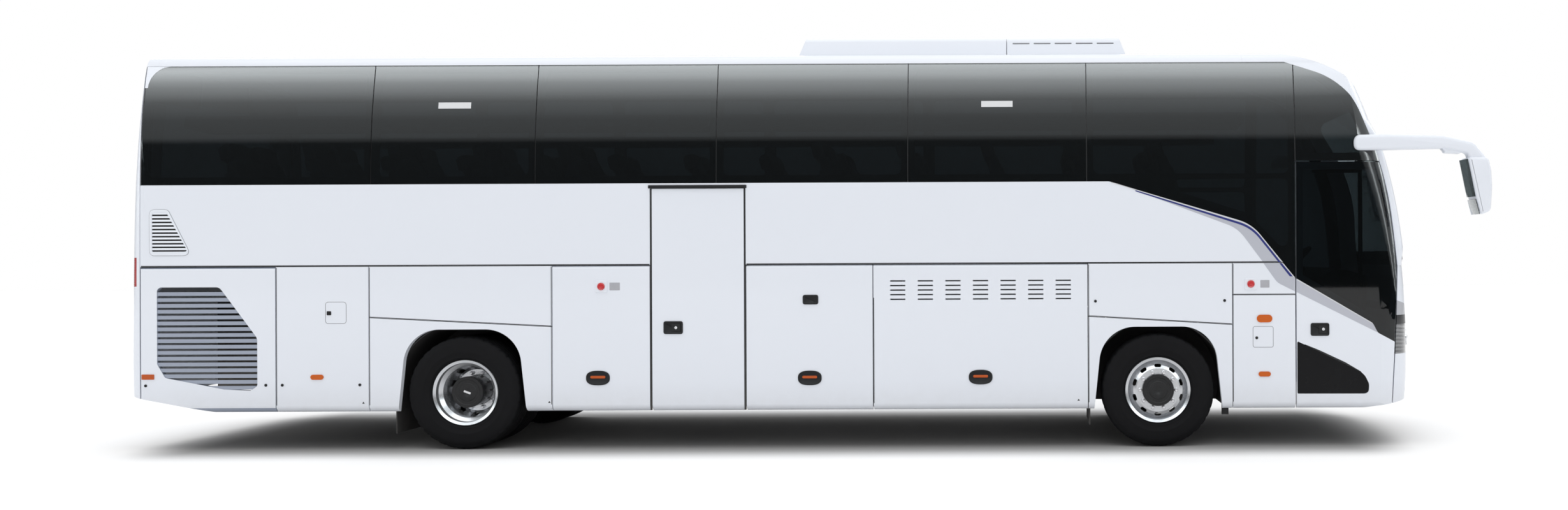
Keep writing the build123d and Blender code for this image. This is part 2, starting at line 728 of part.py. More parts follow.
# Luggage bay floors between the bulkheads, clear of the mid stairwell.
bay_runs = [
    (bulkhead_stations[2] + bulkhead, bulkhead_stations[3]),
    (bulkhead_stations[3] + bulkhead, bulkhead_stations[4]),
]
with BuildPart() as bay_floors:
    for low, high in bay_runs:
        add(box(low + seat_gap, high - seat_gap, -rail_edge, rail_edge, sill_z[1] + seat_gap, bay_floor_z))
    add(box(mid_door_rear - door_gap, mid_door_front + door_gap, -2 * body_half, bracket - stair_inner_y, 0,
            floor_z), mode=Mode.SUBTRACT)
bay_floors.part.label = "bay_floors"
export_step(bay_floors.part, "parts/bay_floors.step")

# Wheels. Profiles are drawn outboard from the wheel's centre plane and out from its axis.
rim_profile_rows = [
    # outboard, radius: the barrel from its inner flange to its outer flange
    (-121, 300), (-115, 305), (-106, 287), (-60, 284), (-42, 252), (42, 252), (60, 284), (106, 287),
    (115, 305), (121, 300), (110, 276), (66, 270),
]
barrel_back_rows = [(42, 240), (-40, 240), (-66, 272), (-110, 276)]
disc_thickness = 14
hand_holes = 10
hand_hole_radius = 224
hub_cap_radius = 142
front_dish = 122
rear_dish = twin_spacing / 2 - bond_gap / 2


def wheel_plane(station, y, side):
    """Plane through a wheel's centre: local X outboard, local Y up."""
    return Plane(origin=(at(station), y, wheel_z), x_dir=(0, side, 0), z_dir=(side, 0, 0))


def rim(station, y, side, dish):
    """Wheel rim with its disc standing out by the dish on the given side of the centre plane."""
    plane = wheel_plane(station, y, side)
    disc_rows = [(dish - 12, 228), (dish, 200), (dish, 0), (dish - disc_thickness, 0),
                 (dish - disc_thickness, 194), (dish - 30, 214)]
    with BuildPart() as wheel:
        with BuildSketch(plane):
            with BuildLine():
                Polyline(*rim_profile_rows, *disc_rows, *barrel_back_rows, close=True)
            make_face()
        revolve(axis=Axis(plane.origin, plane.x_dir))
        with BuildSketch(Plane(plane.origin, x_dir=(0, 0, 1), z_dir=plane.x_dir).offset(30)):
            with PolarLocations(hand_hole_radius, hand_holes):
                SlotOverall(64, 30, rotation=90)
        extrude(amount=dish, mode=Mode.SUBTRACT)
    return wheel.part


def drum(station, side, radius, y_low, y_high):
    """Cylinder on a wheel's axis between two distances from the body's centre line."""
    plane = wheel_plane(station, side * y_low, side)
    with BuildPart() as solid:
        with BuildSketch(Plane(plane.origin, x_dir=(0, 0, 1), z_dir=plane.x_dir)):
            Circle(radius)
        extrude(amount=y_high - y_low)
    return solid.part


bead_radius = 287.3
tyre_rows = [
    # outboard, radius, corner radius, from the bead out over the tread
    (64, bead_radius, 0), (104, bead_radius, 0), (104, 310, 0), (130, 330, 0), (tyre_width / 2, 400, 90),
    (138, tyre_radius - 8, 30),
]
liner_rows = [(76, 318, 0), (118, 400, 60), (112, tyre_radius - 30, 30)]


def tyre(station, y, side):
    """Tyre as a ring whose open side faces the rim."""
    plane = wheel_plane(station, y, side)
    crown = [(96, tyre_radius, 0), (-96, tyre_radius, 0)]
    mirrored = [(-out, radius, corner) for out, radius, corner in tyre_rows[::-1]]
    lining = [(-out, radius, corner) for out, radius, corner in liner_rows]
    corners = [*tyre_rows, *crown, *mirrored, *lining, *liner_rows[::-1]]
    with BuildPart() as ring:
        with BuildSketch(plane):
            with BuildLine():
                FilletPolyline(*[corner[:2] for corner in corners],
                               radius=[corner[2] for corner in corners], close=True)
            make_face()
        revolve(axis=Axis(plane.origin, plane.x_dir))
    return ring.part


spindle_radius = 45
rear_spindle_radius = 60
twin_centre = wheel_track_half - twin_spacing / 2
for side, name in ((1, "left"), (-1, "right")):
    disc_y = wheel_track_half + front_dish
    front_rim = rim(front_axle_station, side * wheel_track_half, side, front_dish)
    front_hub = drum(front_axle_station, side, 100, hub_inner_y, disc_y)
    front_cap = drum(front_axle_station, side, hub_cap_radius, disc_y - 1, disc_y + front_cap_depth)
    front_bore = drum(front_axle_station, side, spindle_radius + pin_clearance, hub_inner_y - 1,
                      spindle_end_y + 1)
    with BuildPart() as front_wheel:
        for piece in (front_rim, front_hub, front_cap):
            add(piece)
        add(front_bore, mode=Mode.SUBTRACT)
    front_wheel.part.label = f"front_rim_{name}"
    export_step(front_wheel.part, f"parts/front_rim_{name}.step")

    outer_rim = rim(rear_axle_station, side * wheel_track_half, -side, rear_dish)
    inner_rim = rim(rear_axle_station, side * (wheel_track_half - twin_spacing), side, rear_dish)
    rear_hub = drum(rear_axle_station, side, hub_cap_radius, twin_centre - 60, rear_hub_end_y)
    rear_bore = drum(rear_axle_station, side, rear_spindle_radius + pin_clearance, twin_centre - 80,
                     rear_spindle_end_y + 1)
    with BuildPart() as rear_wheel:
        for piece in (outer_rim, inner_rim, rear_hub):
            add(piece)
        add(rear_bore, mode=Mode.SUBTRACT)
    rear_wheel.part.label = f"rear_rims_{name}"
    export_step(rear_wheel.part, f"parts/rear_rims_{name}.step")

    front_tyre = tyre(front_axle_station, side * wheel_track_half, side)
    front_tyre.label = f"front_tyre_{name}"
    export_step(front_tyre, f"parts/front_tyre_{name}.step")
    rear_pair = [tyre(rear_axle_station, side * y, side)
                 for y in (wheel_track_half, wheel_track_half - twin_spacing)]
    with BuildPart() as rear_tyres:
        for piece in rear_pair:
            add(piece)
    rear_tyres.part.label = f"rear_tyres_{name}"
    export_step(rear_tyres.part, f"parts/rear_tyres_{name}.step")

    # Steering knuckle: a yoke round the end of the axle beam, the spindle and the brake behind the wheel.
    yoke = box(front_axle_station - 60, front_axle_station + 60, *sorted((side * 865, side * 1000)), *yoke_z)
    slot = box(front_axle_station - 70, front_axle_station + 70, *sorted((side * 800, side * 980)),
               boss_z[0] - 8, boss_z[1] + 8)
    brake = drum(front_axle_station, side, 195, 1000, hub_inner_y - 8)
    spindle = drum(front_axle_station, side, spindle_radius, 990, spindle_end_y)
    with BuildPart() as knuckle:
        add(yoke)
        add(slot, mode=Mode.SUBTRACT)
        with BuildSketch(Plane.XY.offset(yoke_z[0] - 1)):
            with Locations((at(front_axle_station), side * kingpin_half)):
                Circle(kingpin_radius + pin_clearance)
        extrude(amount=yoke_z[1] - yoke_z[0] + 2, mode=Mode.SUBTRACT)
        add(brake)
        add(spindle)
    knuckle.part.label = f"knuckle_{name}"
    export_step(knuckle.part, f"parts/knuckle_{name}.step")

# Front axle: a dropped beam with a boss and kingpin at each end, under two air springs.
beam_pieces = [box(front_axle_station - 55, front_axle_station + 55, -700, 700, beam_low_z, beam_low_z + 90)]
beam_pieces += [box(front_axle_station - 55, front_axle_station + 55,
                    *sorted((side * 600, side * kingpin_half)), *boss_z) for side in both]
with BuildPart() as front_axle:
    for piece in beam_pieces:
        add(piece)
    for side in both:
        with BuildSketch(Plane.XY.offset(yoke_z[0])):
            with Locations((at(front_axle_station), side * kingpin_half)):
                Circle(kingpin_radius)
        extrude(amount=yoke_z[1] - yoke_z[0])
        with BuildSketch(Plane.XY.offset(beam_low_z)):
            with Locations((at(front_axle_station), side * front_beam_y)):
                Circle(110)
        extrude(amount=front_beam_z[0] - seat_gap - beam_low_z)
front_axle.part.label = "front_axle"
export_step(front_axle.part, "parts/front_axle.step")

# Rear axle: tube with the final drive in the middle, brakes, spindles and two air springs.
axle_pieces = [drum(rear_axle_station, 1, 85, -640, 640), drum(rear_axle_station, 1, 215, -140, 140),
               drum(rear_axle_station, 1, rear_spindle_radius, -rear_spindle_end_y, rear_spindle_end_y)]
axle_pieces += [drum(rear_axle_station, side, 200, 590, 700) for side in both]
with BuildPart() as rear_axle:
    for piece in axle_pieces:
        add(piece)
    for side in both:
        with BuildSketch(Plane.XY.offset(wheel_z)):
            with Locations((at(rear_axle_station), side * rear_beam_y)):
                Circle(120)
        extrude(amount=rear_beam_z[0] - seat_gap - wheel_z)
rear_axle.part.label = "rear_axle"
export_step(rear_axle.part, "parts/rear_axle.step")

# Wheelhouses: half-round shells over the wheels, closed inboard, with a mud flap behind each wheel.
house_rows = [
    # axle, inner wall, mud flap's lowest height
    (rear_axle_station, 560, 150),
    (front_axle_station, 520, 205),
]
house_wall = 10
house_low_z = skirt_z + 10
house_cuts = [box(0, body_length, -body_half, body_half, -open_below, house_low_z)]
mud_flaps = []
for axle, inner_y, flap_low_z in house_rows:
    house_cuts.append(box(axle - 230, axle + 230, -kingpin_half, kingpin_half, 0, wheel_z + 230))
    flap_station = axle - sqrt(wheelhouse_radius**2 - (wheel_z - house_low_z) ** 2)
    for side in both:
        flap_y = sorted((side * (inner_y + 60), side * rail_edge))
        mud_flaps.append(box(flap_station, flap_station + house_wall, *flap_y, flap_low_z, house_low_z))
with BuildPart() as wheelhouses:
    for axle, inner_y, flap_low_z in house_rows:
        for side in both:
            plane = wheel_plane(axle, side * inner_y, side)
            with BuildSketch(Plane(plane.origin, x_dir=(1, 0, 0), z_dir=plane.x_dir)):
                Circle(wheelhouse_radius)
            extrude(amount=rail_edge - inner_y)
            with BuildSketch(Plane(plane.origin, x_dir=(1, 0, 0), z_dir=plane.x_dir).offset(house_wall)):
                Circle(wheelhouse_radius - house_wall)
            extrude(amount=rail_edge - inner_y, mode=Mode.SUBTRACT)
    for cut in house_cuts:
        add(cut, mode=Mode.SUBTRACT)
    for piece in mud_flaps:
        add(piece)
wheelhouses.part.label = "wheelhouses"
export_step(wheelhouses.part, "parts/wheelhouses.step")

# Front door: a glazed leaf on two arms that swing from a post inside the doorway, so that the leaf
# moves out and forward and stays parallel to the body.
leaf_rear = front_door_rear + door_gap / 2
leaf_pillar = shifted(pillar_rear[:3], -door_gap)
leaf_outline = [(leaf_rear, skirt_z - 60, 0), *shifted(door_front, -door_gap), *leaf_pillar,
                (leaf_rear, pillar_rear[2][1], 0)]
door_glass_outline = [(leaf_rear, sweep_height(leaf_rear), 0), *door_sweep[1:3],
                      (door_front[1][0] - door_gap, 960, 0), *leaf_pillar, (leaf_rear, pillar_rear[2][1], 0)]
low_window = [(10830, 950, 20), (10981, 889, 60), (11223, 775, 60), (11371, 687, 60),
              (11436, 551, 40), (11407, 498, 20), (10830, 488, 20)]
above_leaf = box(front_panel_station, nose_station, -2 * body_half, 0, front_door_top, crown_z)
above_opening = box(front_panel_station, nose_station, -2 * body_half, 0, front_door_top - rail, crown_z)
leaf_region = on_sides(leaf_outline, right, full_depth)[0]
door_panes = on_sides(door_glass_outline, right, full_depth) + on_sides(low_window, right, full_depth)
pane_pockets = (on_sides(door_glass_outline, right, full_depth, bond_gap)
                + on_sides(low_window, right, full_depth, bond_gap))
pane_holes = (on_sides(door_glass_outline, right, full_depth, -post)
              + on_sides(low_window, right, full_depth, -post / 2))
with BuildPart() as door_pocket:
    for piece in pane_pockets:
        add(piece)
    add(pocket_layer.part, mode=Mode.INTERSECT)
with BuildPart() as door_opening:
    for piece in pane_holes:
        add(piece)
    add(above_opening, mode=Mode.SUBTRACT)


def pivot_bracket(station, z_low):
    """Lug on a leaf's inner face with a bore for the arm's pin."""
    with BuildPart() as lug:
        with BuildSketch(Plane.XY.offset(z_low)):
            with Locations((at(station), -(inner_half + 4 + post_y - 30) / 2)):
                Rectangle(60, inner_half + 4 - post_y + 30)
            with Locations((at(station), -post_y)):
                Circle(pin_radius + pin_clearance, mode=Mode.SUBTRACT)
        extrude(amount=bracket)
    return lug.part


def door_arm(station, arm_heights, post_top):
    """Post in the doorway with two arms back to the leaf's pivots."""
    with BuildPart() as arm:
        with BuildSketch(Plane.XY.offset(first_step_z + seat_gap)):
            with Locations((at(station), -post_y)):
                Circle(post_radius)
        extrude(amount=post_top - first_step_z - 2 * seat_gap)
        with BuildSketch(Plane.XY.offset(first_step_z - pin_depth)):
            with Locations((at(station), -post_y)):
                Circle(pin_radius)
        extrude(amount=post_top + bracket + pin_depth - first_step_z)
        for height in arm_heights:
            with BuildSketch(Plane.XY.offset(height)):
                with Locations((at(station - arm_length / 2), -post_y)):
                    SlotCenterToCenter(arm_length, 2 * post_radius)
            extrude(amount=arm_height)
            with BuildSketch(Plane.XY.offset(height)):
                with Locations((at(station - arm_length), -post_y)):
                    Circle(pin_radius)
            extrude(amount=arm_height + bracket + seat_gap)
    return arm.part


front_brackets = [pivot_bracket(front_post_station - arm_length, height + arm_height + seat_gap)
                  for height in front_arm_z]
with BuildPart() as front_door_leaf:
    add(wall_layer.part)
    add(leaf_region, mode=Mode.INTERSECT)
    for cut in (above_leaf, door_pocket.part, door_opening.part):
        add(cut, mode=Mode.SUBTRACT)
    for lug in front_brackets:
        add(lug)
front_door_leaf.part.label = "front_door_leaf"
export_step(front_door_leaf.part, "parts/front_door_leaf.step")
with BuildPart() as front_door_glass:
    for piece in door_panes:
        add(piece)
    add(above_leaf, mode=Mode.SUBTRACT)
    add(glass_layer.part, mode=Mode.INTERSECT)
front_door_glass.part.label = "front_door_glass"
export_step(front_door_glass.part, "parts/front_door_glass.step")
front_door_arm = door_arm(front_post_station, front_arm_z, door_head_z)
front_door_arm.label = "front_door_arm"
export_step(front_door_arm, "parts/front_door_arm.step")

# Mid door: a plain leaf in the flat side, on the same kind of post and arms.
mid_leaf = on_sides(window(mid_door_rear + door_gap / 2, mid_door_front - door_gap / 2, skirt_z - 60,
                           mid_door_top), right)
mid_brackets = [pivot_bracket(mid_post_station - arm_length, height + arm_height + seat_gap)
                for height in mid_arm_z]
with BuildPart() as mid_door_leaf:
    add(mid_leaf[0])
    add(outer, mode=Mode.INTERSECT)
    for lug in mid_brackets:
        add(lug)
mid_door_leaf.part.label = "mid_door_leaf"
export_step(mid_door_leaf.part, "parts/mid_door_leaf.step")
mid_door_arm = door_arm(mid_post_station, mid_arm_z, belt_z)
mid_door_arm.label = "mid_door_arm"
export_step(mid_door_arm, "parts/mid_door_arm.step")
with BuildPart() as door_brackets:
    for station, height in ((front_post_station, door_head_z), (mid_post_station, belt_z)):
        with BuildSketch(Plane.XY.offset(height)):
            with Locations((at(station), -(post_y + inner_half) / 2)):
                Rectangle(80, inner_half - post_y + 60)
            with Locations((at(station), -post_y)):
                Circle(pin_radius + pin_clearance, mode=Mode.SUBTRACT)
        extrude(amount=bracket)
    add(inner_clear, mode=Mode.INTERSECT)
door_brackets.part.label = "door_brackets"
export_step(door_brackets.part, "parts/door_brackets.step")

# Flaps: hinged along a full-round top edge that turns in a gutter of the frame. The engine flaps
# carry a slatted grille and the foremost right-hand flap rows of louvres.
grille = [(300, 1507, 40), (875, 1507, 60), (1221, 1038, 80), (1221, 597, 30), (1158, 555, 30), (916, 567, 0),
          (373, 675, 30), (300, 800, 40)]
slat_pitch = 54
slat_height = 34
slat_depth = 16
louvre_rows = (7, 5)
louvre_pitch = (253.7, 42)
louvre_centre = (7872, 1455)
louvre_size = (140, 12)
for name, low, high, side in flap_rows:
    cuts = []
    slats = []
    if name.startswith("engine"):
        cuts = on_sides(grille, (side,), flap_thickness + 10)
        slat_heights = [555 + slat_pitch * (row + 0.5) for row in range(int((1507 - 555) / slat_pitch))]
        slats = [box(280, 1240, *sorted((side * (body_half - 6), side * (body_half - 6 - slat_depth))),
                     height - slat_height / 2, height + slat_height / 2) for height in slat_heights]
        slat_limit = on_sides(grille, (side,), flap_thickness, 12)[0]
        with BuildPart() as slat_pack:
            for piece in slats:
                add(piece)
            add(slat_limit, mode=Mode.INTERSECT)
        slats = [slat_pack.part]
    with BuildPart() as flap:
        with BuildSketch(Plane.YZ.offset(at(low + flap_gap / 2))):
            with Locations((side * hinge_y, (hinge_z + skirt_z) / 2)):
                Rectangle(flap_thickness, hinge_z - skirt_z)
            with Locations((side * hinge_y, hinge_z)):
                Circle(flap_thickness / 2)
        extrude(amount=high - low - flap_gap)
        for cut in cuts:
            add(cut, mode=Mode.SUBTRACT)
        for piece in slats:
            add(piece)
        if name == "bay_flap_front_right":
            with BuildSketch(Plane.XZ.offset(body_half + 1)):
                with Locations((at(louvre_centre[0]), louvre_centre[1])):
                    with GridLocations(*louvre_pitch, *louvre_rows):
                        Rectangle(*louvre_size)
            extrude(amount=-flap_thickness - 2, mode=Mode.SUBTRACT)
        add(outer, mode=Mode.INTERSECT)
    flap.part.label = name
    export_step(flap.part, f"parts/{name}.step")

# Rear engine lid, hinged along its top edge in the same way.
with BuildPart() as engine_lid:
    with BuildSketch(Plane.XZ.offset(-lid_half)):
        with Locations((at(lid_hinge_station), (lid_hinge_z + lid_low_z) / 2)):
            Rectangle(flap_thickness + 2 * lid_skin_station, lid_hinge_z - lid_low_z)
        with Locations((at(lid_hinge_station), lid_hinge_z)):
            Circle(flap_thickness / 2)
    extrude(amount=2 * lid_half)
    add(outer, mode=Mode.INTERSECT)
engine_lid.part.label = "engine_lid"
export_step(engine_lid.part, "parts/engine_lid.step")

# Roof unit: two low covers on the crown, tapered at the ends and sides.
unit_rows = [
    # rear end, front end
    (6117, 8111),
    (8117, 9268),
]
with BuildPart() as roof_unit:
    with BuildSketch(Plane.YZ.offset(at(unit_rows[0][0]))):
        with BuildLine():
            FilletPolyline((-900, 3600), (900, 3600), (840, unit_top_z), (-840, unit_top_z),
                           radius=[0, 0, 60, 60], close=True)
        make_face()
    extrude(amount=unit_rows[1][1] - unit_rows[0][0])
    add(region([(unit_rows[0][0], 3600, 0), (unit_rows[1][1], 3600, 0),
                (unit_rows[1][1] - 90, unit_top_z + 1, 0), (unit_rows[0][0] + 90, unit_top_z + 1, 0)],
               -body_half, body_half), mode=Mode.INTERSECT)
    add(box(unit_rows[0][1], unit_rows[1][0], -body_half, body_half, cant_z, unit_top_z + 10),
        mode=Mode.SUBTRACT)
    add(outer_clear, mode=Mode.SUBTRACT)
roof_unit.part.label = "roof_unit"
export_step(roof_unit.part, "parts/roof_unit.step")

# Mirrors: an arm from each front pillar with the head hanging from its end; the driver's side reaches less.
mirror_tips = [(-1, body_length + mirror_reach), (1, body_length + left_mirror_reach)]
arm_outline = [(-1260, 2733, 20), (-1200, 2858, 40), (-960, 2867, 200), (-440, 2853, 200),
               (-160, 2790, 120), (-40, 2640, 120), (-20, 2560, 0), (-210, 2600, 0), (-215, 2690, 60),
               (-460, 2736, 0), (-930, 2726, 0)]
head_outline = [(-228, 2650, 20), (-40, 2650, 0), (-12, 2546, 0), (0, 2392, 300), (-12, 2168, 40),
                (-113, 2120, 10), (-154, 2281, 0)]
with BuildPart() as mirror_arms:
    for side, tip in mirror_tips:
        add(region(shifted(arm_outline, tip), *sorted(side * y for y in mirror_arm_y)))
        add(region(shifted(head_outline, tip), *sorted(side * y for y in mirror_head_y)))
    add(outer_clear, mode=Mode.SUBTRACT)
mirror_arms.part.label = "mirror_arms"
export_step(mirror_arms.part, "parts/mirror_arms.step")
pane_margin = 12
glass_line = [head_outline[0], head_outline[-1], head_outline[-2]]
mirror_panes = []
for top, bottom in zip(glass_line, glass_line[1:]):
    ends = [(station_at(top, bottom, height) - bond_gap, height) for height in
            (top[1] - pane_margin, bottom[1] + pane_margin)]
    pane = [(*end, 0) for end in ends] + [(station - mirror_pane, height, 0) for station, height in ends[::-1]]
    for side, tip in mirror_tips:
        pane_y = sorted(side * y for y in (mirror_head_y[0] + pane_margin, mirror_head_y[1] - pane_margin))
        mirror_panes.append(region(shifted(pane, tip), *pane_y))
with BuildPart() as mirror_glasses:
    for piece in mirror_panes:
        add(piece)
mirror_glasses.part.label = "mirror_glasses"
export_step(mirror_glasses.part, "parts/mirror_glasses.step")

# Wipers: a pivot, an arm and a blade on each half of the windscreen, laid on the curved front.
with BuildPart() as wipers:
    with BuildSketch(Plane.YZ.offset(at(body_length - 700))):
        for side in both:
            with Locations((side * 620, mask_z + 60)):
                Rectangle(900, 26, rotation=side * 3)
            with Locations((side * 470, mask_z)):
                Rectangle(720, 32, rotation=side * 14)
            with Locations((side * 150, mask_z - 85)):
                Circle(45)
    extrude(amount=900)
    add(wiper_form, mode=Mode.INTERSECT)
    add(outer_clear, mode=Mode.SUBTRACT)
wipers.part.label = "wipers"
export_step(wipers.part, "parts/wipers.step")

# Side lamps: amber markers and the oval flashers, standing a little proud of the fixed panels.
with BuildPart() as side_lamps:
    for side in both:
        for station, height, length, tall in lamp_rows:
            with BuildSketch(Plane.XZ.offset(-side * (body_half + seat_gap))):
                with Locations((at(station), height)):
                    SlotOverall(length, tall)
            extrude(amount=-side * lamp_proud)
side_lamps.part.label = "side_lamps"
export_step(side_lamps.part, "parts/side_lamps.step")

# Dashboard with the steering wheel on its column.
with BuildPart() as dashboard:
    add(region([(11180, cab_floor_z, 0), (11560, cab_floor_z, 0), (11600, 1560, 60), (11300, 1640, 60),
                (11180, 1560, 60)], -600, 1080))
    with BuildSketch(Plane(origin=(at(11230), driver_y, 1590), z_dir=(-1, 0, 1.1))):
        Circle(35)
    extrude(amount=150)
    with BuildSketch(Plane(origin=(at(11230), driver_y, 1590), z_dir=(-1, 0, 1.1)).offset(130)):
        Circle(230)
        Circle(200, mode=Mode.SUBTRACT)
        with PolarLocations(115, 3):
            Rectangle(180, 40)
    extrude(amount=26)
dashboard.part.label = "dashboard"
export_step(dashboard.part, "parts/dashboard.step")

# Seats: double seats in rows on the saloon floor, left out over the mid stairwell, and the driver's seat.
seat_shape = [(60, 0, 0), (360, 0, 0), (400, 320, 0), (520, 330, 30), (520, 440, 30), (130, 450, 40),
              (-60, 1170, 40), (-160, 1170, 40), (0, 320, 0)]
seat_rows = []
for row in range(row_count):
    station = first_row_station + row * row_pitch
    for side in both:
        over_stairs = mid_door_rear - 560 < station < mid_door_front + 200
        if side == 1 or not over_stairs:
            seat_rows.append((station, floor_z, *sorted((side * seat_inner_y, side * seat_outer_y))))
seat_rows.append((10560, cab_floor_z, driver_y - 240, driver_y + 240))
with BuildPart() as seats:
    for station, base_z, y_low, y_high in seat_rows:
        add(region(shifted(seat_shape, station, base_z), y_low, y_high))
seats.part.label = "seats"
export_step(seats.part, "parts/seats.step")

# Luggage racks over the seats, and the service duct under each rack's outer edge.
rack_shape = [(inner_half - 27, 2980), (780, 2960), (740, 3010), (780, 3060), (inner_half - 60, 3090)]
with BuildPart() as luggage_racks:
    with BuildSketch(Plane.YZ.offset(at(rack_stations[0]))):
        with BuildLine():
            Polyline(*rack_shape, close=True)
        make_face()
        mirror(about=Plane.YZ)
    extrude(amount=rack_stations[1] - rack_stations[0])
luggage_racks.part.label = "luggage_racks"
export_step(luggage_racks.part, "parts/luggage_racks.step")

# Engine as one block in the tail, and the gas cylinders behind the louvred flap.
engine_block = box(360, bulkhead_stations[0] - seat_gap, -480, 480, 520, 1350)
engine_block.label = "engine"
export_step(engine_block, "parts/engine.step")
cylinder_low = bulkhead_stations[3] + bulkhead + seat_gap
cylinder_high = bulkhead_stations[4] - seat_gap
with BuildPart() as gas_cylinders:
    for column in range(2):
        for row in range(2):
            y = -rail_half + cylinder_radius + column * (2 * cylinder_radius + 20)
            z = bay_floor_z + cylinder_radius + seat_gap + row * (2 * cylinder_radius + seat_gap)
            with BuildSketch(Plane.YZ.offset(at(cylinder_low))):
                with Locations((y, z)):
                    Circle(cylinder_radius)
            extrude(amount=cylinder_high - cylinder_low)
gas_cylinders.part.label = "gas_cylinders"
export_step(gas_cylinders.part, "parts/gas_cylinders.step")
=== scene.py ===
from math import copysign, cos, pi, sin, tan, tau

import bmesh
import bpy
from mathutils import Euler, Matrix, Vector
from mathutils.bvhtree import BVHTree


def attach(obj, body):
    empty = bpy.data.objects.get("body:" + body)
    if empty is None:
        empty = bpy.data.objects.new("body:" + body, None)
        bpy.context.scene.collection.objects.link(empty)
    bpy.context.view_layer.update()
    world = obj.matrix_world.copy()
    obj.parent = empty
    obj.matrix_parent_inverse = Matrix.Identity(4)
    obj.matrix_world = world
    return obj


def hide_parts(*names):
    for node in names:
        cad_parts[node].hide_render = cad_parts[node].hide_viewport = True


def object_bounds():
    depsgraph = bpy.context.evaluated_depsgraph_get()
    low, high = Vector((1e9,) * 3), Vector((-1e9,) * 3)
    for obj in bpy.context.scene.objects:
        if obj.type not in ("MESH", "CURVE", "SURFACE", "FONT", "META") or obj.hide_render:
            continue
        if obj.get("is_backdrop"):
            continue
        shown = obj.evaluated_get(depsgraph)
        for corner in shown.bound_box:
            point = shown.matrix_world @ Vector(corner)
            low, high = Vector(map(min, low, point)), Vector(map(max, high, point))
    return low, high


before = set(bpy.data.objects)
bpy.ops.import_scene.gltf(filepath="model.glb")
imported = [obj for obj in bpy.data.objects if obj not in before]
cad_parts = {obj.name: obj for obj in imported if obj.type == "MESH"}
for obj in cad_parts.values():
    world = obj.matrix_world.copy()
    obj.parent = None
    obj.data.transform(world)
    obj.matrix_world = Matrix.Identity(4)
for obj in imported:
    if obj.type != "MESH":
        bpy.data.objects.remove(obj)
cad_box = [list(corner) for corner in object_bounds()]

# Underframe: rails, bulkheads and sills of welded steel tube, primed and sprayed dark grey, under
# road dust that thickens towards the ground. The flap hinges turn in its gutters.
REAR_X = -6.285


def effect(name, inputs, outputs):
    """An empty node group for a surface effect, with the sockets inside it: given to it and giving out."""
    group = bpy.data.node_groups.new(name, "ShaderNodeTree")
    for label, value in inputs.items():
        socket = group.interface.new_socket(label, in_out="INPUT", socket_type="NodeSocketFloat")
        socket.default_value = value
    for label in outputs:
        group.interface.new_socket(label, in_out="OUTPUT", socket_type="NodeSocketFloat")
    return group, group.nodes.new("NodeGroupInput").outputs, group.nodes.new("NodeGroupOutput").inputs


def node(tree, kind, links=None, **values):
    """A node with its settings, its input values by socket name and the links into it."""
    made = tree.nodes.new("ShaderNode" + kind)
    for key, value in values.items():
        if key in made.inputs:
            made.inputs[key].default_value = value
        else:
            setattr(made, key, value)
    for key, source in (links or {}).items():
        tree.links.new(source, made.inputs[key])
    return made


def math(tree, operation, first, second=None):
    """One sum: each side is a socket or a number."""
    made = tree.nodes.new("ShaderNodeMath")
    made.operation = operation
    for place, side in enumerate((first, second)):
        if isinstance(side, (int, float)):
            made.inputs[place].default_value = side
        elif side is not None:
            tree.links.new(side, made.inputs[place])
    return made.outputs[0]


def use(tree, group, **values):
    """The effect group placed in a material with its own values."""
    made = tree.nodes.new("ShaderNodeGroup")
    made.node_tree = group
    for key, value in values.items():
        made.inputs[key.replace("_", " ")].default_value = value
    return made.outputs


def blend(tree, mask, low, high):
    """Colour that goes from low to high with the mask; each is a colour or a socket."""
    made = tree.nodes.new("ShaderNodeMix")
    made.data_type = "RGBA"
    sockets = [s for s in made.inputs if s.type == "RGBA"]
    tree.links.new(mask, made.inputs[0])
    for socket, side in zip(sockets, (low, high)):
        if isinstance(side, tuple):
            socket.default_value = (*side, 1)
        else:
            tree.links.new(side, socket)
    return next(s for s in made.outputs if s.type == "RGBA")


def finish(name, **plain):
    """A material with one shader, whose plain values are set on its own sockets."""
    material = bpy.data.materials.new(name)
    material.use_nodes = True
    tree = material.node_tree
    shader = tree.nodes["Principled BSDF"]
    for key, value in plain.items():
        shader.inputs[key.replace("_", " ")].default_value = value
    return material, tree, shader


def dress(material, *nodes):
    """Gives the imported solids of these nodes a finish."""
    for name in nodes:
        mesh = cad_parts[name].data
        mesh.materials.clear()
        mesh.materials.append(material)


def paint(tree, shader, mask, low, high):
    """Base colour that goes from low to high with the mask."""
    tree.links.new(blend(tree, mask, low, high), shader.inputs["Base Color"])


def roughen(tree, shader, mask, span, least):
    """Roughness that rises from the least by a span of the mask."""
    tree.links.new(math(tree, "ADD", math(tree, "MULTIPLY", mask, span), least), shader.inputs["Roughness"])


def bump(tree, shader, height, strength, distance):
    """Relief in the finish, as deep as the distance."""
    made = node(tree, "Bump", {"Height": height}, Strength=strength, Distance=distance)
    tree.links.new(made.outputs[0], shader.inputs["Normal"])


def spot(tree):
    """Where a point of the piece lies."""
    return node(tree, "TexCoord").outputs["Object"]


def noise(tree, scale, detail, place=None):
    """Cloudy mask, laid by the place on the piece where that is given."""
    links = None if place is None else {"Vector": place}
    return node(tree, "TexNoise", links, Scale=scale, Detail=detail).outputs[0]


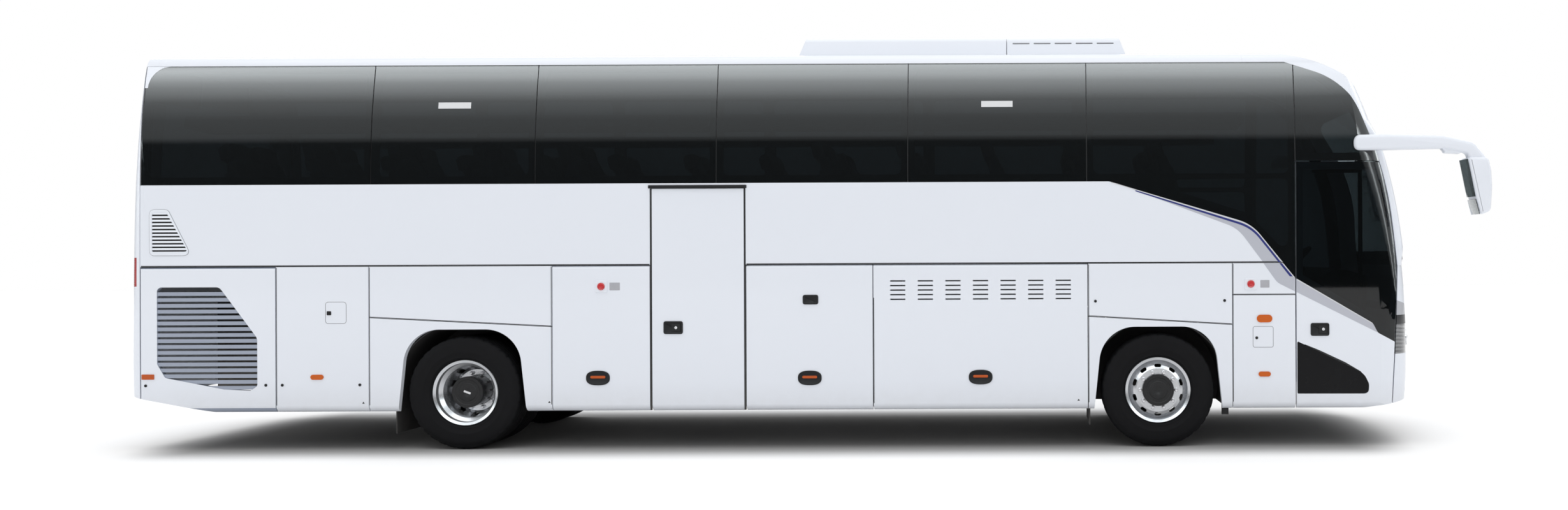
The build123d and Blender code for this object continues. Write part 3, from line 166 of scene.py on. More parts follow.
road_dust, given, gives = effect("road_dust", {"Low": 0.3, "High": 1.0, "Amount": 0.3}, ["Mask"])
place = spot(road_dust)
height = node(road_dust, "SeparateXYZ", {"Vector": place}).outputs["Z"]
fade = node(road_dust, "MapRange", {"Value": height, "From Min": given["High"], "From Max": given["Low"]})
specks = node(road_dust, "TexNoise", {"Vector": place}, Scale=7.0, Detail=8.0, Roughness=0.7)
patchy = math(road_dust, "MULTIPLY", fade.outputs[0], specks.outputs[0])
road_dust.links.new(math(road_dust, "MULTIPLY", patchy, given["Amount"]), gives["Mask"])

sprayed_steel, given, gives = effect("sprayed_steel", {"Scale": 60.0}, ["Tone", "Height"])
place = spot(sprayed_steel)
grain = node(sprayed_steel, "TexNoise", {"Vector": place, "Scale": given["Scale"]}, Detail=6.0)
cloud = noise(sprayed_steel, 1.7, 3.0, place)
sprayed_steel.links.new(cloud, gives["Tone"])
sprayed_steel.links.new(grain.outputs[0], gives["Height"])


def dark_steel(name, clean, dusty, rough, dust, grain_scale):
    """Sprayed steel: cloudy tone, fine spray grain and road dust."""
    material, tree, shader = finish(name)
    spray = use(tree, sprayed_steel, Scale=grain_scale)
    mask = use(tree, road_dust, Low=0.3, High=1.3, Amount=dust)["Mask"]
    toned = blend(tree, spray["Tone"], clean, tuple(channel * 1.7 for channel in clean))
    paint(tree, shader, mask, toned, dusty)
    roughen(tree, shader, spray["Tone"], 0.3, rough)
    bump(tree, shader, spray["Height"], 0.25, 0.001)
    return material


DUST = (0.30, 0.27, 0.23)
chassis_paint = dark_steel("chassis_paint", (0.022, 0.023, 0.026), DUST, 0.4, 0.7, 90.0)
dress(chassis_paint, "frame", "bulkheads", "door_brackets")

# Axles, knuckles and engine: cast and forged iron, with rough sand-cast faces, painted black and
# bolted under the frame.
cast_iron = dark_steel("cast_iron", (0.016, 0.016, 0.017), DUST, 0.5, 0.9, 240.0)
dress(cast_iron, "front_axle", "rear_axle", "knuckle_left", "knuckle_right", "engine")

# Wheelhouses and mud flaps: black moulded rubber sheet, pressed with a fine pebble, riveted to the
# frame and greyed by spray.
arch_rubber = dark_steel("arch_rubber", (0.010, 0.010, 0.011), (0.12, 0.11, 0.10), 0.6, 0.45, 380.0)
dress(arch_rubber, "wheelhouses")

# Gas cylinders: composite bottles, wound with white glass tape in crossing turns and sealed with
# resin, lying in the foremost right-hand bay.
wound_tape, tree, shader = finish("wound_tape", Coat_Weight=0.3, Coat_Roughness=0.2)
turns = node(tree, "TexWave", {"Vector": spot(tree)}, Scale=22.0, Distortion=1.2, Detail=2.0,
             bands_direction="DIAGONAL").outputs[1]
paint(tree, shader, turns, (0.52, 0.53, 0.53), (0.74, 0.75, 0.74))
roughen(tree, shader, turns, 0.2, 0.35)
bump(tree, shader, turns, 0.4, 0.002)
dress(wound_tape, "gas_cylinders")

# Rims: forged aluminium, turned and polished, with fine lathe rings; the hub ends in their middle
# are painted black.
AXLES = {"front": 9.505 + REAR_X, "rear": 3.105 + REAR_X}
WHEEL_Z = 0.522
HUB_R = 0.1445
RING_RADIANS = 2600.0
ALLOY_METAL = 0.85


def axes(tree):
    """The X, Y and Z of a point of the piece."""
    return node(tree, "SeparateXYZ", {"Vector": spot(tree)}).outputs


def length(tree, first, second):
    """Long side of a right angle's triangle."""
    squares = [math(tree, "MULTIPLY", leg, leg) for leg in (first, second)]
    return math(tree, "SQRT", math(tree, "ADD", *squares))


turned_alloy, tree, shader = finish("turned_alloy", IOR=1.6)
place = axes(tree)
off_axles = [math(tree, "ABSOLUTE", math(tree, "SUBTRACT", place["X"], at)) for at in AXLES.values()]
across = math(tree, "MINIMUM", *off_axles)
radius = length(tree, across, math(tree, "SUBTRACT", place["Z"], WHEEL_Z))
rings = math(tree, "SINE", math(tree, "MULTIPLY", radius, RING_RADIANS))
smear = noise(tree, 9.0, 5.0)
hub = math(tree, "LESS_THAN", radius, HUB_R)
metal = blend(tree, smear, (0.48, 0.49, 0.51), (0.62, 0.63, 0.65))
paint(tree, shader, hub, metal, (0.012, 0.012, 0.013))
shine = math(tree, "MULTIPLY", math(tree, "SUBTRACT", 1.0, hub), ALLOY_METAL)
tree.links.new(shine, shader.inputs["Metallic"])
roughen(tree, shader, smear, 0.16, 0.16)
bump(tree, shader, rings, 0.04, 0.0004)
dress(turned_alloy, "front_rim_left", "front_rim_right", "rear_rims_left", "rear_rims_right")

# Wheel nuts: ten domed steel cap nuts on each wheel, zinc plated, each with a pressed washer, on a
# 335 mm circle.
NUT_CIRCLE = 0.1675
NUT_COUNT, NUT_STEPS = 10, 12
MERGE = 1e-6
SHARP_ANGLE = 0.6


def piece(name, verts, faces, material, body, slot, smooth=False):
    """A new mesh in the coach's frame, with its finish, riding on a body; the slot is not used."""
    mesh = bpy.data.meshes.new(name)
    mesh.from_pydata([tuple(v) for v in verts], [], faces)
    mesh.materials.append(material)
    bm = bmesh.new()
    bm.from_mesh(mesh)
    bmesh.ops.remove_doubles(bm, verts=bm.verts, dist=MERGE)
    bmesh.ops.recalc_face_normals(bm, faces=bm.faces)
    bm.to_mesh(mesh)
    bm.free()
    made = bpy.data.objects.new(name, mesh)
    bpy.context.scene.collection.objects.link(made)
    if smooth:
        mesh.shade_smooth()
        mesh.set_sharp_from_angle(angle=SHARP_ANGLE)
    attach(made, body)
    return made


def lathe(profile, centre, side, steps, ripple=None):
    """Surface turned about a wheel's axis from (outboard, radius) rows; a ripple lowers some radii."""
    verts, faces = [], []
    rows = len(profile)
    for step in range(steps):
        angle = tau * step / steps
        for out, radius in profile:
            reach = radius - (ripple(step, out, radius) if ripple else 0)
            along, up = reach * sin(angle), reach * cos(angle)
            verts.append((centre[0] + along, centre[1] + side * out, centre[2] + up))
        here, on = step * rows, (step + 1) % steps * rows
        faces += [(here + row, here + row + 1, on + row + 1, on + row) for row in range(rows - 1)]
    return verts, faces


def joined(parts):
    """Several (verts, faces) lists as one."""
    verts, faces = [], []
    for more_verts, more_faces in parts:
        faces += [tuple(index + len(verts) for index in face) for face in more_faces]
        verts += more_verts
    return verts, faces


nut_rows = [
    # outboard, radius
    (0.0, 0.021), (0.004, 0.021), (0.005, 0.0172), (0.024, 0.0165), (0.031, 0.012), (0.033, 0.0),
]
plated_steel, tree, shader = finish("plated_steel", Metallic=0.6)
stain = noise(tree, 60.0, 6.0)
paint(tree, shader, stain, (0.60, 0.60, 0.62), (0.80, 0.80, 0.82))
roughen(tree, shader, stain, 0.2, 0.15)
REAR_HUB_Y = 1.165
wheel_rows = [
    # body, axle, outboard face of the disc, end of the hub, side
    ("front_wheel_left", "front", 1.215, 1.249, 1), ("front_wheel_right", "front", 1.215, 1.249, -1),
    ("rear_wheels_left", "rear", 0.940, REAR_HUB_Y, 1), ("rear_wheels_right", "rear", 0.940, REAR_HUB_Y, -1),
]
for body, axle, disc_y, hub_y, side in wheel_rows:
    nuts = []
    for turn in range(NUT_COUNT):
        angle = tau * (turn + 0.5) / NUT_COUNT
        centre = (AXLES[axle] + NUT_CIRCLE * sin(angle), side * disc_y, WHEEL_Z + NUT_CIRCLE * cos(angle))
        nuts.append(lathe(nut_rows, centre, side, NUT_STEPS))
    piece(body + "_nuts", *joined(nuts), plated_steel, body, "alloy", smooth=True)

# Hub caps: pressed black covers with a raised ring round a shallow dish, clipped over the hub ends
# and scuffed by use.
cap_rows = [
    # outboard, radius
    (-0.028, 0.1452), (0.0, 0.1452), (0.004, 0.142), (0.0045, 0.118), (0.001, 0.113), (0.001, 0.085),
    (0.005, 0.080), (0.0055, 0.030), (0.003, 0.026), (0.003, 0.0),
]
CAP_STEPS = 48
black_cover, tree, shader = finish("black_cover", Specular_IOR_Level=0.2)
scuff = noise(tree, 34.0, 7.0)
paint(tree, shader, scuff, (0.010, 0.010, 0.011), (0.030, 0.030, 0.031))
roughen(tree, shader, scuff, 0.3, 0.22)
bump(tree, shader, scuff, 0.1, 0.0006)
for body, axle, disc_y, hub_y, side in wheel_rows:
    cap = lathe(cap_rows, (AXLES[axle], side * hub_y, WHEEL_Z), side, CAP_STEPS)
    piece(body + "_cap", *cap, black_cover, body, "black_plastic", smooth=True)

# Hub tag: a small blank plate of bright metal, cut from sheet and riveted askew to the right rear
# hub cap.
TAG_TURN = 0.35
TAG_LONG, TAG_TALL = 0.033, 0.009
TAG_LIFTS = (0.004, 0.0075)


def between(count, low, high):
    """Four-sided faces between two closed loops of points, which start at these numbers."""
    return [(low + i, low + (i + 1) % count, high + (i + 1) % count, high + i) for i in range(count)]


tag = []
for lift in TAG_LIFTS:
    for along, up in ((-1, -1), (1, -1), (1, 1), (-1, 1)):
        a, b = along * TAG_LONG, up * TAG_TALL
        tag.append((AXLES["rear"] + a * cos(TAG_TURN) + b * sin(TAG_TURN), -REAR_HUB_Y - lift,
                    WHEEL_Z - a * sin(TAG_TURN) + b * cos(TAG_TURN)))
faces = [(0, 1, 2, 3), (4, 5, 6, 7), *between(4, 0, 4)]
piece("hub_tag", tag, faces, plated_steel, "rear_wheels_right", "alloy")

# Tyres: radial road tyres of moulded black rubber with four rain grooves, sipes on the shoulders
# and a rim guard, single in front and twin at the rear.
tyre_half = [
    # outboard, radius, from the middle of the tread to the bead
    (0.000, 0.522), (0.022, 0.522), (0.024, 0.507), (0.031, 0.507), (0.033, 0.5217), (0.066, 0.5212),
    (0.068, 0.507), (0.075, 0.507), (0.077, 0.5205), (0.100, 0.519), (0.121, 0.516), (0.133, 0.509),
    (0.139, 0.498), (0.1415, 0.482), (0.1440, 0.478), (0.1455, 0.450), (0.1458, 0.420), (0.1440, 0.385),
    (0.1445, 0.380), (0.1420, 0.374), (0.1385, 0.352), (0.1310, 0.334), (0.1320, 0.328), (0.1240, 0.318),
    (0.1120, 0.309), (0.1040, 0.306), (0.1040, 0.290),
]
tyre_rows = [(-out, radius) for out, radius in tyre_half[:0:-1]] + tyre_half
TYRE_STEPS = 180
TREAD_R, GROOVE_R = 0.505, 0.508
RIBS_END, SHOULDER = 0.08, 0.095
SHOULDER_SIPE, RIB_SIPE = 0.007, 0.003


def tread_cuts(step, out, radius):
    """Depth of the sipes at a step round the tyre: deep on the shoulders, shallow across the ribs."""
    if radius < TREAD_R or radius < GROOVE_R and abs(out) < RIBS_END:
        return 0.0
    if abs(out) > SHOULDER:
        return SHOULDER_SIPE if step % 5 == 0 else 0.0
    return RIB_SIPE if step % 6 == 0 else 0.0


tyre_rubber, tree, shader = finish("tyre_rubber", Specular_IOR_Level=0.12)
place = spot(tree)
bloom = noise(tree, 14.0, 6.0, place)
pebble = noise(tree, 420.0, 2.0, place)
paint(tree, shader, bloom, (0.0030, 0.0030, 0.0036), (0.0085, 0.0085, 0.0095))
roughen(tree, shader, bloom, 0.25, 0.6)
bump(tree, shader, pebble, 0.2, 0.0006)
tyre_planes = {"front": (1.093,), "rear": (1.093, 0.758)}
for body, axle, disc_y, hub_y, side in wheel_rows:
    centres = [(AXLES[axle], side * y, WHEEL_Z) for y in tyre_planes[axle]]
    treads = [lathe(tyre_rows, centre, side, TYRE_STEPS, tread_cuts) for centre in centres]
    tyres = piece(body + "_tread", *joined(treads), tyre_rubber, body, "tyre", smooth=True)
    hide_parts(body.replace("_wheels_", "_tyres_").replace("_wheel_", "_tyre_"))

# Floors and steps: plywood decks under speckled vinyl with a rubbed sheen; the bay floors are
# ribbed aluminium tread plate.
CHIP_SIZE = 0.28


def wave(tree, scale, along, place=None):
    """Even bands across one axis, laid by the place on the piece where that is given."""
    links = None if place is None else {"Vector": place}
    return node(tree, "TexWave", links, Scale=scale, bands_direction=along).outputs[1]


speckle, given, gives = effect("speckle", {"Scale": 900.0}, ["Mask", "Rub"])
place = spot(speckle)
chips = node(speckle, "TexVoronoi", {"Vector": place, "Scale": given["Scale"]})
rubbed = noise(speckle, 3.0, 5.0, place)
speckle.links.new(math(speckle, "LESS_THAN", chips.outputs["Distance"], CHIP_SIZE), gives["Mask"])
speckle.links.new(rubbed, gives["Rub"])
deck_vinyl, tree, shader = finish("deck_vinyl")
chip = use(tree, speckle, Scale=420.0)
paint(tree, shader, chip["Mask"], (0.10, 0.105, 0.115), (0.24, 0.25, 0.27))
roughen(tree, shader, chip["Rub"], 0.35, 0.35)
bump(tree, shader, chip["Rub"], 0.1, 0.001)
dress(deck_vinyl, "saloon_floor", "cab_floor", "entry_steps")
tread_plate, tree, shader = finish("tread_plate", Metallic=1.0)
place = spot(tree)
ribs = wave(tree, 16.0, "Y", place)
wear = noise(tree, 5.0, 8.0, place)
paint(tree, shader, wear, (0.30, 0.30, 0.31), (0.55, 0.55, 0.56))
roughen(tree, shader, wear, 0.3, 0.3)
bump(tree, shader, ribs, 0.5, 0.002)
dress(tread_plate, "bay_floors")

# Seats: pairs of high-backed seats in woven cloth over foam, on a moulded pan and steel legs, and
# the driver's seat. Each pad is crowned, pulled in at its seams, and piped along its edge.
FLOOR_Z = 1.680
ROW_COUNT, FIRST_ROW, ROW_PITCH = 12, 0.9, 0.79
SEATS_Y = (0.51, 0.93)
STAIR_REAR, STAIR_FRONT = 4.287, 5.903
DRIVER = (10.56, 1.0, 0.62)
seat_rows = []
for row in range(ROW_COUNT):
    station = FIRST_ROW + row * ROW_PITCH
    for side in (-1, 1):
        if side == 1 or not STAIR_REAR < station < STAIR_FRONT:
            seat_rows += [(station, FLOOR_Z, side * y) for y in SEATS_Y]
seat_rows.append(DRIVER)
PAD_CUTS = 5
PULLED_IN, CROWNED = 0.035, 0.42
CHANNEL_DEEP, CHANNEL_AT, CHANNEL_HALF = 0.05, 0.55, 0.1


def pad(size, place, lean):
    """A stuffed pad: crowned faces, sides pulled in between the corners, leaning back by an angle."""
    bm = bmesh.new()
    bmesh.ops.create_cube(bm, size=2.0)
    bmesh.ops.subdivide_edges(bm, edges=bm.edges[:], cuts=PAD_CUTS, use_grid_fill=True)
    turn = Matrix.Rotation(lean, 4, "Y")
    for vert in bm.verts:
        u, v, w = vert.co
        rim = max(abs(u), abs(v))
        pull = 1 - PULLED_IN * (1 - min(abs(u), abs(v)) ** 2) * rim ** 4
        swell = 1 - CROWNED * rim ** 5
        channel = CHANNEL_DEEP * (1 - rim) * (1 - min(1.0, abs(abs(v) - CHANNEL_AT) / CHANNEL_HALF))
        stuffed = (u * pull, v * pull, w * (swell - channel))
        vert.co = turn @ Vector([share * extent / 2 for share, extent in zip(stuffed, size)])
        vert.co += Vector(place)
    verts = [vert.co.copy() for vert in bm.verts]
    faces = [tuple(vert.index for vert in face.verts) for face in bm.faces]
    bm.free()
    return verts, faces


seat_cloth, tree, shader = finish("seat_cloth", Sheen_Weight=0.35, Sheen_Roughness=0.4)
place = spot(tree)
weft = wave(tree, 160.0, "Y", place)
warp = wave(tree, 160.0, "Z", place)
weave = math(tree, "MULTIPLY", weft, warp)
fleck = noise(tree, 26.0, 4.0, place)
tone = blend(tree, fleck, (0.045, 0.055, 0.095), (0.11, 0.12, 0.17))
paint(tree, shader, weave, tone, (0.16, 0.17, 0.21))
roughen(tree, shader, weave, 0.1, 0.8)
bump(tree, shader, weave, 0.4, 0.001)
pad_rows = [
    # piece, size, place ahead of the seat's foot and over the floor, lean
    ("seat_cushions", (0.44, 0.405, 0.15), (0.30, 0.385), -0.06),
    ("seat_backs", (0.13, 0.405, 0.62), (0.052, 0.72), -0.26),
    ("seat_head_pads", (0.11, 0.33, 0.20), (-0.075, 1.07), -0.26),
]
for name, size, (ahead, up), lean in pad_rows:
    pads = [pad(size, (station + REAR_X + ahead, y, base + up), lean) for station, base, y in seat_rows]
    soft = piece(name, *joined(pads), seat_cloth, "body", "seat_cover", smooth=True)
    if name == "seat_backs":
        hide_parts("seats")

# Moulded trim: seat pans on their legs, the dashboard and the luggage racks, in grained black and grey
# plastic, screwed to the floor and the body's sides.
moulded_grain, given, gives = effect("moulded_grain", {"Scale": 500.0}, ["Grain", "Tone"])
place = spot(moulded_grain)
cells = node(moulded_grain, "TexVoronoi", {"Vector": place, "Scale": given["Scale"]})
handled = noise(moulded_grain, 6.0, 6.0, place)
moulded_grain.links.new(cells.outputs["Distance"], gives["Grain"])
moulded_grain.links.new(handled, gives["Tone"])


def moulded(name, low, high, rough, gloss=0.5):
    """Grained plastic with a slightly handled tone."""
    material, tree, shader = finish(name, Specular_IOR_Level=gloss)
    skin = use(tree, moulded_grain, Scale=420.0)
    paint(tree, shader, skin["Tone"], low, high)
    roughen(tree, shader, skin["Tone"], 0.25, rough)
    bump(tree, shader, skin["Grain"], 0.2, 0.0006)
    return material


def block(low, high):
    """Box between two corners."""
    (x0, y0, z0), (x1, y1, z1) = low, high
    verts = [(x, y, z) for x in (x0, x1) for y in (y0, y1) for z in (z0, z1)]
    return verts, [(0, 1, 3, 2), (4, 6, 7, 5), (0, 4, 5, 1), (2, 3, 7, 6), (0, 2, 6, 4), (1, 5, 7, 3)]


black_moulding = moulded("black_moulding", (0.006, 0.006, 0.007), (0.014, 0.014, 0.015), 0.42, 0.25)
grey_moulding = moulded("grey_moulding", (0.16, 0.165, 0.17), (0.24, 0.245, 0.25), 0.45)
pan_rows = [
    # rear, front, half width, foot and top from the seat's foot: the pan, then its leg
    (0.06, 0.48, 0.20, 0.27, 0.325), (0.12, 0.38, 0.03, 0.0005, 0.28),
]
pans = []
for station, base, y in seat_rows:
    x = station + REAR_X
    for rear, front, half, foot, top in pan_rows:
        pans.append(block((x + rear, y - half, base + foot), (x + front, y + half, base + top)))
piece("seat_pans", *joined(pans), black_moulding, "body", "black_plastic")
dress(black_moulding, "dashboard")
dress(grey_moulding, "luggage_racks")

# Outer panels: sheet aluminium and moulded glass fibre, sprayed white under a clear coat, with the
# faint orange peel of a sprayed finish and a little dust low on the skirt.
orange_peel, given, gives = effect("orange_peel", {"Scale": 260.0}, ["Height", "Tone"])
place = spot(orange_peel)
peel = node(orange_peel, "TexNoise", {"Vector": place, "Scale": given["Scale"]}, Detail=1.0)
drift = noise(orange_peel, 0.8, 3.0, place)
orange_peel.links.new(peel.outputs[0], gives["Height"])
orange_peel.links.new(drift, gives["Tone"])
WHITE = (0.755, 0.785, 0.845)
WHITE_DRIFT = (0.735, 0.768, 0.832)


def sprayed(name, low=WHITE, high=WHITE_DRIFT, dust=0.35):
    """Clear-coated paint. Gives the colour socket back too, for a second colour on the same panel."""
    material, tree, shader = finish(name, Coat_Weight=0.30, Coat_Roughness=0.06, Specular_IOR_Level=0.3)
    skin = use(tree, orange_peel, Scale=260.0)
    mask = use(tree, road_dust, Low=0.30, High=0.62, Amount=dust)["Mask"]
    colour = blend(tree, mask, blend(tree, skin["Tone"], low, high), (0.42, 0.40, 0.37))
    tree.links.new(colour, shader.inputs["Base Color"])
    roughen(tree, shader, skin["Tone"], 0.12, 0.34)
    bump(tree, shader, skin["Height"], 0.035, 0.0006)
    return material, tree, shader, colour


coach_white = sprayed("coach_white")[0]
dress(coach_white, "waist_panels", "lower_panels", "roof", "rear_wall", "front_pillars", "roof_unit",
      "mid_door_leaf", "front_door_leaf", "engine_lid", "mirror_arms",
      *(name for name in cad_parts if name.startswith("bay_flap_")))
BODY_HALF = 1.275
SKIN_LEAST = 0.6
BESIDE = (0.0, 0.02, -0.02, 0.04, -0.04)
skin_nodes = ["waist_panels", "lower_panels", "roof", "rear_wall", "front_pillars", "mid_door_leaf",
              "front_door_leaf", "engine_lid", "side_windows", "front_door_glass", "front_mask", "bumper",
              "windscreen", "roof_unit", *(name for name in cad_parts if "flap" in name)]


def surface(name):
    """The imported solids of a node, as a surface that a ray can meet."""
    return BVHTree.FromObject(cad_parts[name], bpy.context.evaluated_depsgraph_get())


skin_trees = {name: surface(name) for name in skin_nodes}


def skin_y(station, height, side):
    """Outer surface of the body's side at a station and height, or beside it where a shut line runs."""
    reach = 0.0
    for step in BESIDE:
        start = Vector((station + step + REAR_X, side * 3, height))
        for tree in skin_trees.values():
            hit = tree.ray_cast(start, Vector((0, -side, 0)))[0]
            reach = max(reach, side * hit.y if hit is not None else 0.0)
        if reach > SKIN_LEAST:
            break
    return side * reach


# Engine side flaps: pressed aluminium in the same white paint, round a grille of blue-grey slats that
# is set back in its opening.
SET_BACK = 0.003
grille_flap, tree, shader, white = sprayed("grille_flap")
across = math(tree, "ABSOLUTE", axes(tree)["Y"])
behind = math(tree, "LESS_THAN", across, BODY_HALF - SET_BACK)
paint(tree, shader, behind, white, (0.30, 0.335, 0.41))
dress(grille_flap, "engine_flap_right", "engine_flap_left")

# Front mask and bumper: moulded glass fibre in white, with a pale grey wing under the corner piece
# and gloss black round the headlamps.
BEZEL_IN = 0.64


def sloping(tree, along, start, slope, level):
    """Height of a slanting edge: the level at its start, and a slope from there."""
    return math(tree, "ADD", math(tree, "MULTIPLY", math(tree, "SUBTRACT", along, start), slope), level)


mask_finish, tree, shader, white = sprayed("mask_finish")
place = axes(tree)
wing = math(tree, "LESS_THAN", place["Z"], sloping(tree, place["X"], 5.45, -0.30, 1.335))
paint(tree, shader, wing, white, (0.42, 0.43, 0.46))
dress(mask_finish, "front_mask")
bumper_finish, tree, shader, white = sprayed("bumper_finish")
place = axes(tree)
above = math(tree, "GREATER_THAN", place["Z"], sloping(tree, place["X"], 5.415, -0.42, 0.945))
outboard = math(tree, "GREATER_THAN", math(tree, "ABSOLUTE", place["Y"]), BEZEL_IN)
paint(tree, shader, math(tree, "MULTIPLY", above, outboard), white, (0.008, 0.008, 0.010))
dress(bumper_finish, "bumper")

# Glass: bonded panes of dark tinted safety glass, near black from outside, with the faint ripple of
# toughened sheet; the windscreen is lighter and has a printed black edge.
COATED_INDEX = 1.7
SALOON_TINT = (0.040, 0.050, 0.056)
SCREEN_TINT = (0.30, 0.34, 0.34)
PRINT_TOP = 1.80


def tinted(name, tint, index=1.45):
    """Tinted glass with a faint ripple in its colour and its face."""
    material, tree, shader = finish(name, Transmission_Weight=1.0, IOR=index, Roughness=0.02)
    ripple = noise(tree, 3.2, 0.0)
    paint(tree, shader, ripple, tint, tuple(channel * 1.25 for channel in tint))
    bump(tree, shader, ripple, 0.01, 0.002)
    return material, tree, shader


dress(tinted("saloon_glass", SALOON_TINT, COATED_INDEX)[0], "side_windows", "rear_window")
door_glass, tree, shader = tinted("door_glass", SALOON_TINT)
shader.inputs["Specular IOR Level"].default_value = 0.15
dress(door_glass, "front_door_glass")
screen_glass, tree, shader = tinted("screen_glass", SCREEN_TINT)
printed = math(tree, "LESS_THAN", axes(tree)["Z"], PRINT_TOP)
paint(tree, shader, printed, SCREEN_TINT, (0.004, 0.004, 0.005))
dress(screen_glass, "windscreen")
black_section = moulded("black_section", (0.009, 0.009, 0.010), (0.018, 0.018, 0.019), 0.35)
dress(black_section, "window_frames", "front_door_arm", "mid_door_arm", "wipers")
silvered, tree, shader = finish("silvered", Metallic=1.0)
film = noise(tree, 12.0, 4.0)
paint(tree, shader, film, (0.80, 0.82, 0.84), (0.86, 0.87, 0.88))
roughen(tree, shader, film, 0.06, 0.0)
dress(silvered, "mirror_glasses")

# Lamps: clear, red and amber polycarbonate lenses, moulded with ribs on the inside, over their
# reflectors.
def lens(name, low, high, glow, scale):
    """Coloured lens with level flutes and a faint glow of its own; on a reflector strip, which gives no
    light, that glow is painted light.
    """
    material, tree, shader = finish(name, Coat_Weight=0.25, Coat_Roughness=0.03, Specular_IOR_Level=0.25,
                                    Emission_Strength=glow)
    flutes = wave(tree, scale, "Z", spot(tree))
    colour = blend(tree, flutes, low, high)
    tree.links.new(colour, shader.inputs["Base Color"])
    tree.links.new(colour, shader.inputs["Emission Color"])
    roughen(tree, shader, flutes, 0.1, 0.12)
    bump(tree, shader, flutes, 0.3, 0.002)
    return material


dress(lens("amber_lens", (0.44, 0.075, 0.002), (0.60, 0.115, 0.003), 0.05, 28.0), "side_lamps")
dress(lens("red_lens", (0.24, 0.003, 0.005), (0.42, 0.009, 0.011), 0.05, 20.0), "tail_lamps")
clear_lens, tree, shader = finish("clear_lens", Coat_Weight=1.0, Coat_Roughness=0.02)
steps = wave(tree, 9.0, "Z", spot(tree))
paint(tree, shader, steps, (0.045, 0.047, 0.052), (0.16, 0.165, 0.175))
roughen(tree, shader, steps, 0.2, 0.08)
bump(tree, shader, steps, 0.25, 0.003)
dress(clear_lens, "headlamps")

# Headlamp units: two bright metallised bowls with domed bulb shields stand in each dark lens, square
# to its face.
bowl_rows = [
    # outward, radius
    (-0.004, 0.071), (0.006, 0.071), (0.010, 0.066), (0.004, 0.056), (-0.001, 0.040), (0.004, 0.034),
    (0.011, 0.024), (0.014, 0.010), (0.0145, 0.0),
]
BOWLS = ((0.805, 0.984), (0.985, 0.984))
AHEAD_X = 8.0
BOWL_STEPS = 32
lamp_tree = surface("headlamps")
bright_bowl, tree, shader = finish("bright_bowl", Metallic=0.7)
flutes = noise(tree, 55.0, 3.0)
paint(tree, shader, flutes, (0.70, 0.71, 0.73), (0.86, 0.87, 0.89))
roughen(tree, shader, flutes, 0.15, 0.08)
bowls = []
for side in (-1, 1):
    for across, up in BOWLS:
        hit, normal = lamp_tree.ray_cast(Vector((AHEAD_X, side * across, up)), Vector((-1, 0, 0)))[:2]
        turn = Vector((0, 1, 0)).rotation_difference(normal).to_matrix()
        verts, faces = lathe(bowl_rows, (0, 0, 0), 1, BOWL_STEPS)
        bowls.append(([hit + turn @ Vector(vert) for vert in verts], faces))
piece("headlamp_bowls", *joined(bowls), bright_bowl, "body", "lamp", smooth=True)

# Sweep band: a silver-grey painted band under the dark glass, edged by a bright line with a thin
# blue one below it. The front door carries its own length of it.
SIDES = ((-1, "right"), (1, "left"))
EASE_MOST = 0.49


def rounded(corners, steps=6):
    """Closed outline with eased corners, each a (station, height, radius)."""
    points = []
    for place, (along, up, radius) in enumerate(corners):
        corner = Vector((along, up))
        before = Vector(corners[place - 1][:2]) - corner
        after = Vector(corners[(place + 1) % len(corners)][:2]) - corner
        if radius == 0:
            points.append(corner)
            continue
        reach = radius / tan(before.angle(after) / 2)
        start = corner + before.normalized() * min(reach, before.length * EASE_MOST)
        end = corner + after.normalized() * min(reach, after.length * EASE_MOST)
        for step in range(steps + 1):
            share = step / steps
            points.append((1 - share) ** 2 * start + 2 * share * (1 - share) * corner + share ** 2 * end)
    return points


def inset(points, amount):
    """The outline drawn in by an amount, point by point."""
    count = len(points)
    area = sum(points[i - 1].x * points[i].y - points[i].x * points[i - 1].y for i in range(count))
    turn = 1 if area > 0 else -1
    moved = []
    for i in range(count):
        run = points[(i + 1) % count] - points[i - 1]
        moved.append(points[i] + Vector((-run.y, run.x)).normalized() * amount * turn)
    return moved


def stacked(loops, bases, side):
    """Solid through loops of the side view, each drawn in and lifted off the skin by its own amounts."""
    verts, faces = [], []
    count = len(bases)
    for points, lift in loops:
        verts += [(point.x + REAR_X, base + side * lift, point.y) for point, base in zip(points, bases)]
    faces.append(tuple(range(count)))
    for level in range(len(loops) - 1):
        faces += between(count, level * count, (level + 1) * count)
    faces.append(tuple((len(loops) - 1) * count + i for i in range(count)))
    return verts, faces


def plate(outline, side, lifts, follow=False):
    """Fitting on the body's side: each lift is (how far drawn in, how far off the skin)."""
    middle = sum(outline, Vector((0, 0))) / len(outline)
    if follow:
        bases = [skin_y(point.x, point.y, side) for point in outline]
    else:
        bases = [skin_y(middle.x, middle.y, side)] * len(outline)
    loops = [(inset(outline, drawn) if drawn else outline, lift) for drawn, lift in lifts]
    return stacked(loops, bases, side)


def bar(low, high, z_low, z_high, radius=0.0):
    """Outline of an upright rectangle with eased corners."""
    corners = [(low, z_low), (high, z_low), (high, z_high), (low, z_high)]
    return rounded([(*corner, radius) for corner in corners])


